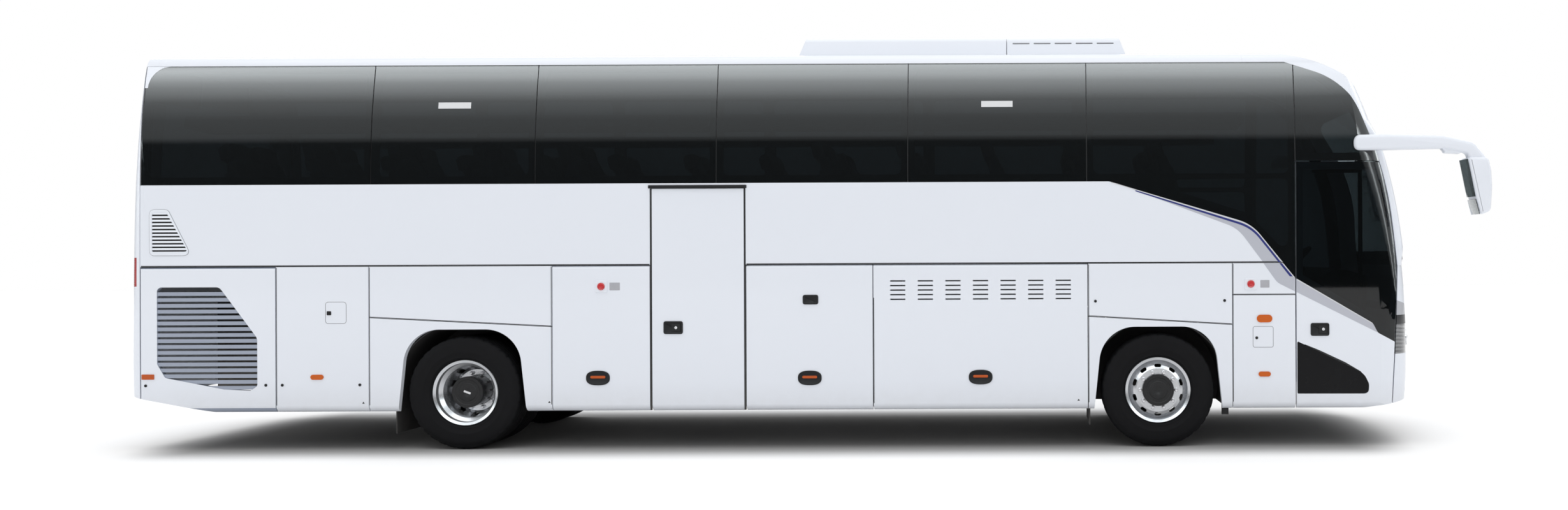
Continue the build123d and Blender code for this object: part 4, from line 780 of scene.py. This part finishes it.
band_grey = sprayed("band_grey", (0.46, 0.475, 0.53), (0.44, 0.455, 0.51), 0.0)[0]
line_blue = sprayed("line_blue", (0.018, 0.026, 0.16), (0.024, 0.032, 0.19), 0.0)[0]
edge_bright = sprayed("edge_bright", (0.66, 0.67, 0.69), (0.58, 0.59, 0.61), 0.0)[0]
FILM = [(0, -0.0004), (0, 0.0009)]
RAISED = [(0, -0.0004), (0, 0.0016)]
sweep = [(9.075, 2.441, 0), (10.368, 2.046, 0.40), (10.651, 1.698, 0)]
band_rows = [
    # place on the waist panel, the panel behind the door or the door, and the outline there
    ("waist", [*sweep, (10.470, 1.698, 0), (10.240, 2.010, 0.35), (9.117, 2.430, 0)]),
    ("panel", [(10.655, 1.688, 0), (10.763, 1.556, 0), (10.763, 1.428, 0), (10.600, 1.510, 0.15),
               (10.474, 1.688, 0)]),
    ("door", [(10.779, 1.544, 0), (11.477, 1.133, 0.06), (11.522, 1.047, 0), (10.779, 1.421, 0)]),
]
line_rows = [
    ("waist", [(9.30, 2.365, 0), (10.372, 2.030, 0.40), (10.634, 1.698, 0), (10.612, 1.698, 0),
               (10.362, 2.012, 0.40), (9.30, 2.354, 0)]),
    ("panel", [(10.642, 1.688, 0), (10.742, 1.566, 0), (10.716, 1.566, 0), (10.620, 1.688, 0)]),
]
edge_rows = [
    ("waist", [*sweep, (10.642, 1.698, 0), (10.366, 2.036, 0.40), (9.075, 2.434, 0)]),
    ("panel", [(10.655, 1.688, 0), (10.763, 1.556, 0), (10.754, 1.556, 0), (10.646, 1.688, 0)]),
    ("door", [(10.779, 1.544, 0), (11.477, 1.133, 0.06), (11.477, 1.125, 0.06), (10.779, 1.534, 0)]),
]
band_sets = [
    # piece, outlines, lifts, paint
    ("band", band_rows, FILM, band_grey), ("blue_line", line_rows, RAISED, line_blue),
    ("bright_edge", edge_rows, RAISED, edge_bright),
]
for side, word in SIDES:
    for label, rows, lifts, material in band_sets:
        for place, corners in rows:
            body = "front_door" if place == "door" and side == -1 else "body"
            film = plate(rounded(corners, 10), side, lifts, follow=True)
            piece(f"{label}_{place}_{word}", *film, material, body, "white_paint")

# Front pillar covers: white mouldings bonded over the pillars between the doors and the windscreen,
# full in the middle and thin at both ends. Rear corner gussets round off the glass under the roof.
COVER_ROWS, COVER_COLS = 40, 10
MASK_TOP = 1.660
COVER_Z = (1.664, 3.012)
COVER_WIDE = 0.175
COVER_FULL, COVER_THIN, COVER_SUNK = 0.034, 0.003, 0.004
COVER_EASE = 0.16
ROUND_POWER = 0.8
WALK = 0.002
CORNER_LEAST = 0.3
PILLAR_REAR = rounded([(11.737, MASK_TOP, 0), (11.650, 2.500, 2.5), (11.330, 3.215, 0)], 30)
pillar_tree, screen_tree = skin_trees["front_pillars"], skin_trees["windscreen"]


def corner_y(along, up, side, *trees):
    """Outer surface of the front corner in these trees, or nothing where the ray slips through a joint."""
    start = Vector((along + REAR_X, side * 3, up))
    hits = [tree.ray_cast(start, Vector((0, -side, 0)))[0] for tree in trees]
    reach = [side * hit.y for hit in hits if hit is not None and side * hit.y > CORNER_LEAST]
    return side * max(reach) if reach else None


def pillar_line(up, side):
    """Plan of the pillar's outer face at a height, from its rear edge, as points evenly spaced along it."""
    below, above = next((a, b) for a, b in zip(PILLAR_REAR, PILLAR_REAR[1:]) if a.y <= up <= b.y)
    along = below.lerp(above, (up - below.y) / (above.y - below.y)).x + COVER_THIN
    walked, points = 0.0, [Vector((along, corner_y(along, up, side, pillar_tree)))]
    lengths = [0.0]
    while walked < COVER_WIDE + 10 * WALK:
        along += WALK
        across = corner_y(along, up, side, pillar_tree, screen_tree)
        if across is None:
            continue
        points.append(Vector((along, across)))
        walked += (points[-1] - points[-2]).length
        lengths.append(walked)
    line = []
    for col in range(COVER_COLS + 1):
        want = COVER_THIN + COVER_WIDE * col / COVER_COLS
        k = next(i for i in range(1, len(lengths)) if lengths[i] >= want)
        share = (want - lengths[k - 1]) / (lengths[k] - lengths[k - 1])
        line.append(points[k - 1].lerp(points[k], share))
    return line


def sheet(rows, cols, base):
    """Four-sided faces of a grid of points, which starts at this number."""
    faces = []
    for row in range(rows):
        for col in range(cols):
            low = base + row * (cols + 1) + col
            high = low + cols + 1
            faces.append((low, low + 1, high + 1, high))
    return faces


def pillar_cover(side):
    """Closed shell of the cover: the full outer face, the bonded inner face and the rim between them."""
    outer, inner = [], []
    bottom, top = COVER_Z
    for row in range(COVER_ROWS + 1):
        up = bottom + (top - bottom) * row / COVER_ROWS
        ease = min(1.0, (up - bottom) / COVER_EASE, (top - up) / COVER_EASE)
        line = pillar_line(up, side)
        for col, point in enumerate(line):
            run = line[min(col + 1, COVER_COLS)] - line[max(col - 1, 0)]
            out = Vector((-run.y, run.x)).normalized() * side
            lift = COVER_THIN + COVER_FULL * ease * sin(pi * col / COVER_COLS) ** ROUND_POWER
            for face, off in ((outer, lift), (inner, -COVER_SUNK)):
                face.append((point.x + out.x * off + REAR_X, point.y + out.y * off, up))
    wide = COVER_COLS + 1
    count = len(outer)
    faces = sheet(COVER_ROWS, COVER_COLS, 0) + sheet(COVER_ROWS, COVER_COLS, count)
    rim = [row * wide for row in range(COVER_ROWS + 1)] + [COVER_ROWS * wide + col for col in range(1, wide)]
    rim += [row * wide + COVER_COLS for row in range(COVER_ROWS - 1, -1, -1)]
    rim += range(COVER_COLS - 1, 0, -1)
    faces += [(a, b, count + b, count + a) for a, b in zip(rim, rim[1:] + rim[:1])]
    return outer + inner, faces


GUSSET_AT = 0.32
GUSSET_STEPS = 10
GUSSET_REAR, GUSSET_FRONT, GUSSET_LONG = 0.150, 0.372, 0.196
GUSSET_Z = (3.350, 3.450, 3.553)
GUSSET_TALL = 0.203
gusset = []
for step in range(GUSSET_STEPS + 1):
    turn = pi / 2 * step / GUSSET_STEPS
    gusset.append(Vector((GUSSET_FRONT - GUSSET_LONG * sin(turn), GUSSET_Z[0] + GUSSET_TALL * cos(turn))))
gusset += [Vector((GUSSET_REAR, up)) for up in GUSSET_Z]
for side, word in SIDES:
    piece(f"pillar_cover_{word}", *pillar_cover(side), coach_white, "body", "moulded_white", smooth=True)
    bases = [skin_y(GUSSET_AT, point.y, side) for point in gusset]
    corner = stacked([(gusset, -0.004), (gusset, 0.0015)], bases, side)
    piece(f"rear_gusset_{word}", *corner, coach_white, "body", "moulded_white")

# Waist trim: a thin black rubber edge pressed along the foot of the waist panels, over the flaps, and
# broken at the mid door.
WAIST_LIFTS = [(0, -0.001), (0, 0.0014)]
WAIST_Z = (1.6965, 1.7055)
waist_runs = {-1: ((0.156, 4.830), (5.722, 10.655)), 1: ((0.156, 10.655),)}
for side, word in SIDES:
    runs = [plate(bar(low, high, *WAIST_Z), side, WAIST_LIFTS) for low, high in waist_runs[side]]
    piece(f"waist_trim_{word}", *joined(runs), arch_rubber, "body", "rubber")

# Panel seals: thin black rubber edges, pressed on beside the shut lines of the lower panels and flaps
# in short lengths that follow the skirt.
SEAL_LOW, SEAL_HIGH = 0.0045, 0.0100
SEAL_LIFTS = [(0, -0.001), (0, 0.0008)]
SEAL_Z = [0.38 + 0.04 * step for step in range(9)] + [1.04, 1.36, 1.684]
upright_rows = [
    # owner on each side, station of the shut line, way the seal lies from it
    ("body", 1.392, 1), ("body", 2.247, 1), ("body", 3.933, -1), ("body", 8.859, 1), ("body", 10.187, 1),
    ("bay_flap_front", 6.883, 1), ("bay_flap_mid", 5.408, 1),
]
level_rows = [
    # rear and front station, height of the shut line at each
    (2.252, 3.928, 1.221, 1.132), (8.864, 10.182, 1.206, 1.126), (10.192, 10.764, 1.398, 1.398),
]
for side, word in SIDES:
    seals = {}
    for owner, station, way in upright_rows:
        if owner == "bay_flap_mid" and word == "right":
            continue
        low, high = sorted((station + way * SEAL_LOW, station + way * SEAL_HIGH))
        spans = zip(SEAL_Z, SEAL_Z[1:])
        runs = [plate(bar(low, high, *span), side, SEAL_LIFTS, follow=True) for span in spans]
        seals.setdefault(owner, []).extend(runs)
    for low, high, z_low, z_high in level_rows:
        edge = [Vector((low, z_low + SEAL_LOW)), Vector((high, z_high + SEAL_LOW)),
                Vector((high, z_high + SEAL_HIGH)), Vector((low, z_low + SEAL_HIGH))]
        seals["body"].append(plate(edge, side, SEAL_LIFTS, follow=True))
    for owner, runs in seals.items():
        body = owner if owner == "body" else f"{owner}_{word}"
        piece(f"{owner}_seals_{word}", *joined(runs), arch_rubber, body, "rubber")

# Lower door window: a black border, printed round the pane and fired on, that runs out to the
# leaf's rear edge.
printed_black = moulded("printed_black", (0.006, 0.006, 0.007), (0.010, 0.010, 0.011), 0.12, 0.12)
border = rounded([(10.782, 0.971, 0.012), (11.395, 0.672, 0.16), (11.441, 0.575, 0.08), (11.437, 0.487, 0.05),
                  (10.782, 0.489, 0.012)], 8)
piece("door_window_border", *plate(border, -1, FILM), printed_black, "front_door", "glass")

# Mirrors: blow-moulded white housings with rounded edges on a hollow arm, bolted to each front pillar.
# The panes are the silvered glass of the heads. The left one reaches less far.
def cushioned(outline, low, high, ease, steps=4):
    """Loft of a side-view outline across the coach, its edges rounded by the ease."""
    count = len(outline)
    turns = [pi / 2 * step / steps for step in range(steps + 1)]
    levels = [(ease * (1 - sin(turn)), ease * (1 - cos(turn))) for turn in turns]
    rows = [(drawn, low + deep) for drawn, deep in levels]
    rows += [(drawn, high - deep) for drawn, deep in levels[::-1]]
    verts = []
    for drawn, across in rows:
        loop = inset(outline, drawn) if drawn > MERGE else outline
        verts += [(point.x + REAR_X, across, point.y) for point in loop]
    faces = [tuple(range(count)), tuple((len(rows) - 1) * count + i for i in range(count))]
    for level in range(len(rows) - 1):
        faces += between(count, level * count, (level + 1) * count)
    return verts, faces


arm_edge = [(-1.262, 2.722, 0.060), (-1.258, 2.866, 0.070), (-0.960, 2.870, 0.20), (-0.440, 2.856, 0.20),
            (-0.160, 2.792, 0.12), (-0.034, 2.640, 0.12), (-0.024, 2.560, 0.02), (-0.206, 2.600, 0.02),
            (-0.213, 2.692, 0.06), (-0.440, 2.736, 0.10), (-0.930, 2.726, 0.20)]
head_edge = [(-0.224, 2.655, 0.03), (-0.036, 2.655, 0.05), (-0.010, 2.546, 0.10), (0.0, 2.392, 0.30),
             (-0.014, 2.162, 0.05), (-0.108, 2.122, 0.03), (-0.150, 2.281, 0.10)]
pod_edge = [(-0.450, 2.745, 0.0), (-0.425, 2.694, 0.02), (-0.285, 2.688, 0.02), (-0.255, 2.730, 0.0)]
MIRROR_TIPS = {-1: 12.570, 1: 12.270}
housing_rows = [
    # outline, inboard and outboard face, rounding
    (arm_edge, 1.185, 1.300, 0.032), (head_edge, 1.078, 1.322, 0.026), (pod_edge, 1.205, 1.280, 0.012),
]
housings = []
for side, tip in MIRROR_TIPS.items():
    for edge, low, high, ease in housing_rows:
        outline = rounded([(tip + along, up, radius) for along, up, radius in edge])
        housings.append(cushioned(outline, *sorted((side * low, side * high)), ease))
housing = piece("mirror_housings", *joined(housings), coach_white, "body", "moulded_white", smooth=True)
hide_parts("mirror_arms")

# Flap and door handles: black moulded dishes with a pull edge, the flaps' with an amber reflector
# strip and the doors' with a key lock.
DISH = [(0, -0.001), (0, 0.006), (0.004, 0.010), (0.010, 0.010), (0.020, 0.0035)]
# The flaps' reflector strips use the lens finish with its faint glow: a painted glow, since a reflector gives
# no light of its own.
amber_strip = lens("amber_strip", (0.38, 0.055, 0.002), (0.50, 0.085, 0.003), 0.05, 60.0)


def oval(along, up, half_long, half_tall, steps=40, square=0.78):
    """Outline of a squarish oval."""
    points = []
    for step in range(steps):
        turn = tau * step / steps
        reach, rise = (copysign(abs(leg) ** square, leg) for leg in (cos(turn), sin(turn)))
        points.append(Vector((along + half_long * reach, up + half_tall * rise)))
    return points


FLAP_DISH = (0.109, 0.067)
STRIP_HALF, STRIP_BELOW, STRIP_ABOVE, STRIP_ROUND = 0.068, 0.004, 0.020, 0.011
STRIP_LIFTS = [(0, 0.002), (0, 0.0075), (0.002, 0.009)]
handle_rows = [
    # body, station, height, side
    ("bay_flap_rear_right", 4.353, 0.659, -1), ("bay_flap_mid_right", 6.300, 0.652, -1),
    ("bay_flap_front_right", 7.870, 0.653, -1), ("bay_flap_rear_left", 4.670, 0.655, 1),
    ("bay_flap_mid_left", 6.145, 0.655, 1), ("bay_flap_front_left", 7.871, 0.655, 1),
]
for body, along, up, side in handle_rows:
    dish = plate(oval(along, up, *FLAP_DISH), side, DISH)
    piece(body + "_handle", *dish, black_moulding, body, "black_plastic", smooth=True)
    edge = bar(along - STRIP_HALF, along + STRIP_HALF, up - STRIP_BELOW, up + STRIP_ABOVE, STRIP_ROUND)
    strip = plate(edge, side, STRIP_LIFTS)
    piece(body + "_reflector", *strip, amber_strip, body, "amber_lamp", smooth=True)
door_handles = [
    # body, low and high station, low and high height, key lock
    ("mid_door", 4.958, 5.135, 1.060, 1.178, (5.072, 1.118)),
    ("front_door", 10.905, 11.076, 1.019, 1.137, (11.021, 1.080)),
    ("bay_flap_mid_right", 6.238, 6.380, 1.327, 1.415, None),
]
RECESS_RIM = 0.022
PADDLE_IN, PADDLE_ROUND = 0.075, 0.008
PADDLE_LIFTS = [(0, 0.002), (0, 0.007), (0.002, 0.0085)]
KEY_LIFT, KEY_STEPS = 0.007, 20
key_rows = [
    # outboard, radius
    (-0.001, 0.013), (0.004, 0.013), (0.006, 0.0105), (0.006, 0.004), (0.0045, 0.004), (0.0045, 0.0),
]


def key_lock(along, up, side, lift=0.0):
    """A round key lock standing on the skin."""
    return lathe(key_rows, (along + REAR_X, skin_y(along, up, side) + side * lift, up), side, KEY_STEPS)


for body, low, high, z_low, z_high, key in door_handles:
    dish = plate(bar(low, high, z_low, z_high, RECESS_RIM), -1, DISH)
    piece(body + "_recess", *dish, black_moulding, body, "black_plastic", smooth=True)
    if key:
        edge = bar(low + PADDLE_IN, high - RECESS_RIM, z_low + RECESS_RIM, z_high - RECESS_RIM, PADDLE_ROUND)
        paddle = plate(edge, -1, PADDLE_LIFTS)
        piece(body + "_paddle", *paddle, black_cover, body, "black_plastic", smooth=True)
        piece(body + "_key", *key_lock(*key, -1, KEY_LIFT), plated_steel, body, "alloy", smooth=True)

# Key locks and hatches on the fixed panels and flaps: dark round locks, and two small service hatches
# marked by their dark shut lines.
lock_rows = [
    # body, station, height
    ("engine_flap_right", 0.195, 0.604), ("engine_flap_right", 1.300, 0.605), ("body", 1.451, 0.605),
    ("body", 2.164, 0.605), ("body", 8.928, 1.346), ("body", 10.115, 1.347), ("body", 10.409, 1.003),
]
for body in ("engine_flap_right", "body"):
    locks = [key_lock(along, up, -1) for owner, along, up in lock_rows if owner == body]
    piece(body + "_key_locks", *joined(locks), black_cover, body, "black_plastic", smooth=True)
shut_line = moulded("shut_line", (0.16, 0.165, 0.18), (0.22, 0.225, 0.24), 0.5)


def ring(outline, side, width, lift):
    """Flat ring just off the skin, along an outline."""
    base = skin_y(*(sum(outline, Vector((0, 0))) / len(outline)), side)
    inner = inset(outline, width)
    count = len(outline)
    verts = [(p.x + REAR_X, base + side * lift, p.y) for p in (*outline, *inner)]
    verts += [(p.x + REAR_X, base - side * lift, p.y) for p in (*outline, *inner)]
    faces = between(count, 0, count) + between(count, 2 * count, 0)
    faces += between(count, count, 3 * count) + between(count, 3 * count, 2 * count)
    return verts, faces


hatches = [bar(1.848, 2.043, 1.167, 1.368, 0.030), bar(10.374, 10.563, 0.914, 1.109, 0.022)]
lines = [ring(outline, -1, 0.004, 0.0006) for outline in hatches]
piece("hatch_lines", *joined(lines), shut_line, "body", "rubber")
latch = plate(bar(1.863, 1.902, 1.246, 1.283, 0.008), -1, [(0, -0.001), (0, 0.004), (0.003, 0.006)])
piece("hatch_latch", *latch, black_moulding, "body", "black_plastic", smooth=True)

# Emergency valves: a red moulded knob on a white moulded square, screwed to the panel, with a blank
# grey metal plate riveted beside each.
knob_rows = [
    # outboard, radius
    (0.004, 0.034), (0.013, 0.034), (0.018, 0.029), (0.016, 0.022), (0.022, 0.018), (0.024, 0.0),
]
red_knob, tree, shader = finish("red_knob", Coat_Weight=0.5)
rub = noise(tree, 80.0, 4.0)
paint(tree, shader, rub, (0.45, 0.012, 0.016), (0.60, 0.025, 0.030))
roughen(tree, shader, rub, 0.2, 0.2)
brushed_plate, tree, shader = finish("brushed_plate", Metallic=0.6)
lines = wave(tree, 300.0, "Z")
paint(tree, shader, lines, (0.36, 0.36, 0.39), (0.46, 0.46, 0.49))
roughen(tree, shader, lines, 0.15, 0.4)
BASE_HALF, BASE_ABOVE, BASE_ROUND = 0.056, 0.054, 0.012
BASE_LIFTS = [(0, -0.001), (0, 0.004), (0.004, 0.007)]
TIN_LIFTS = [(0, -0.001), (0, 0.0015), (0.001, 0.002)]
KNOB_STEPS = 28
valve_rows = [
    # body, station and height of the knob, plate's stations and heights
    ("bay_flap_rear_right", 4.386, 1.500, 4.462, 4.557, 1.464, 1.535),
    ("body", 10.356, 1.499, 10.445, 10.528, 1.464, 1.534),
]
for body, along, up, low, high, z_low, z_high in valve_rows:
    edge = bar(along - BASE_HALF, along + BASE_HALF, up - BASE_HALF, up + BASE_ABOVE, BASE_ROUND)
    base = plate(edge, -1, BASE_LIFTS)
    piece(body + "_valve_base", *base, coach_white, body, "moulded_white", smooth=True)
    knob = lathe(knob_rows, (along + REAR_X, skin_y(along, up, -1), up), -1, KNOB_STEPS)
    piece(body + "_valve_knob", *knob, red_knob, body, "red_lamp", smooth=True)
    tin = plate(bar(low, high, z_low, z_high, 0.004), -1, TIN_LIFTS)
    piece(body + "_valve_plate", *tin, brushed_plate, body, "alloy")

# Rear side markers: amber lenses clipped into the engine flaps. Two blank white paper labels are stuck
# on the outside of the panes, near their top edge.
for side, word in SIDES:
    body = f"engine_flap_{word}"
    marker = plate(bar(0.160, 0.274, 0.661, 0.708, 0.006), side, [(0, -0.001), (0, 0.006), (0.004, 0.009)])
    piece(body + "_marker", *marker, amber_strip, body, "amber_lamp", smooth=True)
label_paper, tree, shader = finish("label_paper", Roughness=0.5)
fibre = noise(tree, 220.0, 4.0)
paint(tree, shader, fibre, (0.62, 0.63, 0.65), (0.72, 0.73, 0.74))
LABEL_LIFTS = [(0, 0.0002), (0, 0.0010)]
label_rows = [
    # low and high station, low and high height
    (2.875, 3.176, 3.146, 3.203), (7.884, 8.173, 3.140, 3.196),
]
labels = [plate(bar(*ends), -1, LABEL_LIFTS, follow=True) for ends in label_rows]
piece("window_labels", *joined(labels), label_paper, "body", "moulded_white")

# Mid door surround: a black moulded drip rail over the door and rubber seals down both edges, all
# fixed to the body.
DOOR_FOOT, DOOR_HEAD, RAIL_TOP = 0.362, 2.398, 2.428
RAIL_LIFTS = [(0, 0), (0, 0.012), (0.006, 0.018)]
EDGE_LIFTS = [(0, -0.006), (0, 0.001), (0.004, 0.004)]


def fixed(outline, lifts, sunk):
    """Fitting on the plane of the right side, sunk in it a little; its lifts are as for a plate."""
    loops = [(inset(outline, drawn) if drawn else outline, lift) for drawn, lift in lifts]
    return stacked(loops, [-BODY_HALF + sunk] * len(outline), -1)


drip = fixed(bar(4.822, 5.724, DOOR_HEAD, RAIL_TOP, 0.006), RAIL_LIFTS, 0.001)
piece("drip_rail", *drip, black_moulding, "body", "black_plastic", smooth=True)
seals = []
for low, high in ((4.8335, 4.8515), (5.6985, 5.7165)):
    seals.append(fixed(bar(low, high, DOOR_FOOT, DOOR_HEAD, 0.004), EDGE_LIFTS, 0.002))
piece("mid_door_seals", *joined(seals), arch_rubber, "body", "rubber", smooth=True)

# Upper air grilles: a white moulded frame, screwed into the waist panel, round eleven sloping slats
# over black mesh.
grille_edge = [(0.236, 1.800, 0.05), (0.618, 1.800, 0.05), (0.405, 2.222, 0.05), (0.236, 2.222, 0.05)]
grille_in = [(0.262, 1.836, 0.01), (0.592, 1.836, 0.02), (0.396, 2.196, 0.04), (0.262, 2.196, 0.03)]
GRILLE_AT = (0.24, 1.75)
SLATS = 11
SLAT_FOOT = 0.45
SLAT_REAR, SLAT_FRONT = 0.003, 0.004
SLAT_LIFTS = (0.0075, 0.004, 0.001, 0.001)
slat_faces = [(0, 1, 3, 2), (2, 3, 5, 4), (4, 5, 7, 6), (6, 7, 1, 0), (0, 2, 4, 6), (1, 7, 5, 3)]
outer, hole = rounded(grille_edge), rounded(grille_in)
count = len(outer)
frame_loops = [(outer, -0.001), (outer, 0.003), (inset(outer, 0.006), 0.008), (hole, 0.008), (hole, -0.001)]
(back, floor_z, _), (low_end, _, _), (top_end, top_z, _), _ = grille_in
pitch = (top_z - floor_z) / SLATS
for side, word in SIDES:
    base = skin_y(*GRILLE_AT, side)
    verts, faces = [], []
    for points, lift in frame_loops:
        verts += [(p.x + REAR_X, base + side * lift, p.y) for p in points]
    for level in range(len(frame_loops) - 1):
        faces += between(count, level * count, (level + 1) * count)
    piece(f"upper_grille_frame_{word}", verts, faces, coach_white, "body", "moulded_white", smooth=True)
    mesh = stacked([(hole, 0.0004), (hole, 0.0012)], [base] * count, side)
    piece(f"upper_grille_mesh_{word}", *mesh, black_moulding, "body", "black_plastic")
    slats = []
    for row in range(SLATS):
        low = floor_z + pitch * (row + SLAT_FOOT)
        high = floor_z + pitch * (row + 1)
        verts = []
        for up, lift in zip((low, high, high, low), SLAT_LIFTS):
            end = low_end - (low_end - top_end) * (up - floor_z) / (top_z - floor_z) + SLAT_FRONT
            verts += [(x + REAR_X, base + side * lift, up) for x in (back - SLAT_REAR, end)]
        slats.append((verts, slat_faces))
    piece(f"upper_grille_slats_{word}", *joined(slats), coach_white, "body", "moulded_white")
    line = ring(inset(outer, -0.003), side, 0.003, 0.0012)
    piece(f"upper_grille_line_{word}", *line, shut_line, "body", "rubber")

# Under the skirt: painted jacking arrows by the wheels, and a black moulded bracket, bolted on ahead
# of each front wheel.
ARROW_HALF = 0.012
ARROW_Z = (0.432, 0.450)
marks = []
for along in (2.196, 3.905, 8.770):
    low, high = ARROW_Z
    arrow = [Vector((along - ARROW_HALF, low)), Vector((along + ARROW_HALF, low)), Vector((along, high))]
    marks.append(plate(arrow, -1, [(0, -0.0005), (0, 0.0008)]))
piece("jacking_marks", *joined(marks), black_cover, "body", "black_plastic")
BRACKET_Y, BRACKET_HALF = 1.205, 0.02
brackets = []
for side in (-1, 1):
    middle = side * BRACKET_Y
    brackets.append(block((10.095 + REAR_X, middle - BRACKET_HALF, 0.295),
                          (10.155 + REAR_X, middle + BRACKET_HALF, 0.40)))
piece("step_brackets", *joined(brackets), black_moulding, "body", "underframe")

# Roof unit: a row of five slits, cut along each side of the moulded front cover, which lies bolted on
# the roof.
SLITS, FIRST_SLIT, SLIT_PITCH, SLIT_LONG = 5, 8.17, 0.20, 0.16
SLIT_Z = (3.778, 3.790)
slits = []
for side in (-1, 1):
    for place in range(SLITS):
        low = FIRST_SLIT + place * SLIT_PITCH
        slit = bar(low, low + SLIT_LONG, *SLIT_Z, 0.004)
        slits.append(plate(slit, side, [(0, -0.001), (0, 0.0012)], follow=True))
piece("roof_unit_slits", *joined(slits), shut_line, "body", "black_plastic")

# Studio: a pale floor with a soft shadow painted into its colour under the coach, and a broad light
# overhead. The sky is white to the camera and through glass; mirrored rays see a ramp, dark at the
# horizon, with one bright strip. The camera stands on the coach's right, near the front, as in the
# photograph.
scene = bpy.context.scene
scene.view_settings.view_transform = "Standard"
FLOOR_HALF = 60.0
floor_mesh = bpy.data.meshes.new("studio_floor")
corners = [(x * FLOOR_HALF, y * FLOOR_HALF, 0) for x, y in ((-1, -1), (1, -1), (1, 1), (-1, 1))]
floor_mesh.from_pydata(corners, [], [(0, 1, 2, 3)])
floor = bpy.data.objects.new("studio_floor", floor_mesh)
scene.collection.objects.link(floor)
floor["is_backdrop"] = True
floor_paint, tree, shader = finish("floor_paint", Roughness=0.9, Specular_IOR_Level=0.0)
pale = blend(tree, noise(tree, 2.0, 3.0), (0.94, 0.94, 0.94), (0.96, 0.96, 0.96))
place = axes(tree)
# Painted shadow: the floor's colour is dark in a soft patch round the coach's footprint and fades to pale
# over this distance past its edges.
PAINTED_SHADOW_FADE = 0.70
painted_shadow_spans = [
    # axis, middle, half width
    ("X", -0.33, 5.27), ("Y", 0.0, 1.25),
]
past = []
for axis, middle, half in painted_shadow_spans:
    off = math(tree, "ABSOLUTE", math(tree, "SUBTRACT", place[axis], middle))
    past.append(math(tree, "MAXIMUM", math(tree, "SUBTRACT", off, half), 0.0))
painted_shadow = node(tree, "MapRange", {"Value": length(tree, *past)}, interpolation_type="SMOOTHSTEP",
              **{"From Min": 0.0, "From Max": PAINTED_SHADOW_FADE})
paint(tree, shader, painted_shadow.outputs[0], (0.36, 0.36, 0.36), pale)
floor_mesh.materials.append(floor_paint)

SKY_LIGHT = 0.82
MIRROR_SKY = 7.0
sky_steps = [
    # rise of the mirrored direction, brightness there
    (0.0, 0.05), (0.225, 0.07), (0.250, 0.58), (0.317, 0.68), (0.39, 1.3), (0.46, 3.6), (0.505, 7.0),
    (0.56, 3.6), (0.66, 1.2), (1.0, 1.0),
]
world = bpy.data.worlds.new("studio_sky")
scene.world = world
world.use_nodes = True
sky = world.node_tree
path = node(sky, "LightPath").outputs
seen = math(sky, "MAXIMUM", path["Is Camera Ray"], path["Is Transmission Ray"])
toward = node(sky, "SeparateXYZ", {"Vector": node(sky, "TexCoord").outputs["Generated"]}).outputs
rise = math(sky, "DIVIDE", toward["Z"], length(sky, toward["Y"], toward["Z"]))
glow = node(sky, "ValToRGB", {"Fac": rise})
ramp = glow.color_ramp.elements
while len(ramp) < len(sky_steps):
    ramp.new(0.5)
for element, (rise_at, bright) in zip(ramp, sky_steps):
    element.position = rise_at
for element, (rise_at, bright) in zip(ramp, sky_steps):
    element.color = (*[bright / MIRROR_SKY] * 3, 1)
glowing = math(sky, "MULTIPLY", glow.outputs[0], MIRROR_SKY)
mirrored = math(sky, "MULTIPLY", path["Is Glossy Ray"], math(sky, "SUBTRACT", 1.0, path["Is Camera Ray"]))
strength = math(sky, "MAXIMUM", seen, math(sky, "MULTIPLY", mirrored, glowing))
lit = math(sky, "SUBTRACT", 1.0, math(sky, "MAXIMUM", seen, mirrored))
plain = math(sky, "MULTIPLY", lit, SKY_LIGHT)
background = sky.nodes["Background"].inputs
sky.links.new(blend(sky, mirrored, (1.0, 1.0, 1.0), (0.93, 0.98, 1.0)), background["Color"])
sky.links.new(math(sky, "ADD", strength, plain), background["Strength"])

sun = bpy.data.lights.new("overhead_light", "SUN")
sun.energy = 1.2
sun.angle = 1.1
lamp = bpy.data.objects.new("overhead_light", sun)
lamp.rotation_euler = Euler((0.12, 0.0, 0))
scene.collection.objects.link(lamp)

IMAGE_W = 2460
METRES_PER_PIXEL = 0.005859
SIDE_DISTANCE = 12.0
VIEW_X, VIEW_Z = 2.083, 1.761
FRAME_X = -0.218
CAMERA_TILT = 0.0042
camera_data = bpy.data.cameras.new("camera")
camera = bpy.data.objects.new("camera", camera_data)
scene.collection.objects.link(camera)
frame_width = IMAGE_W * METRES_PER_PIXEL
camera_data.sensor_width = 36.0
camera_data.lens = camera_data.sensor_width * SIDE_DISTANCE / frame_width
camera_data.shift_x = (FRAME_X - VIEW_X) / frame_width
camera_data.shift_y = 0.0008
camera_data.clip_end = 300.0
camera.location = (VIEW_X, -BODY_HALF - SIDE_DISTANCE, VIEW_Z)
camera.rotation_euler = Euler((pi / 2, CAMERA_TILT, 0))
scene.camera = camera

size = {"cad": cad_box, "visual": [list(corner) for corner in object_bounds()]}
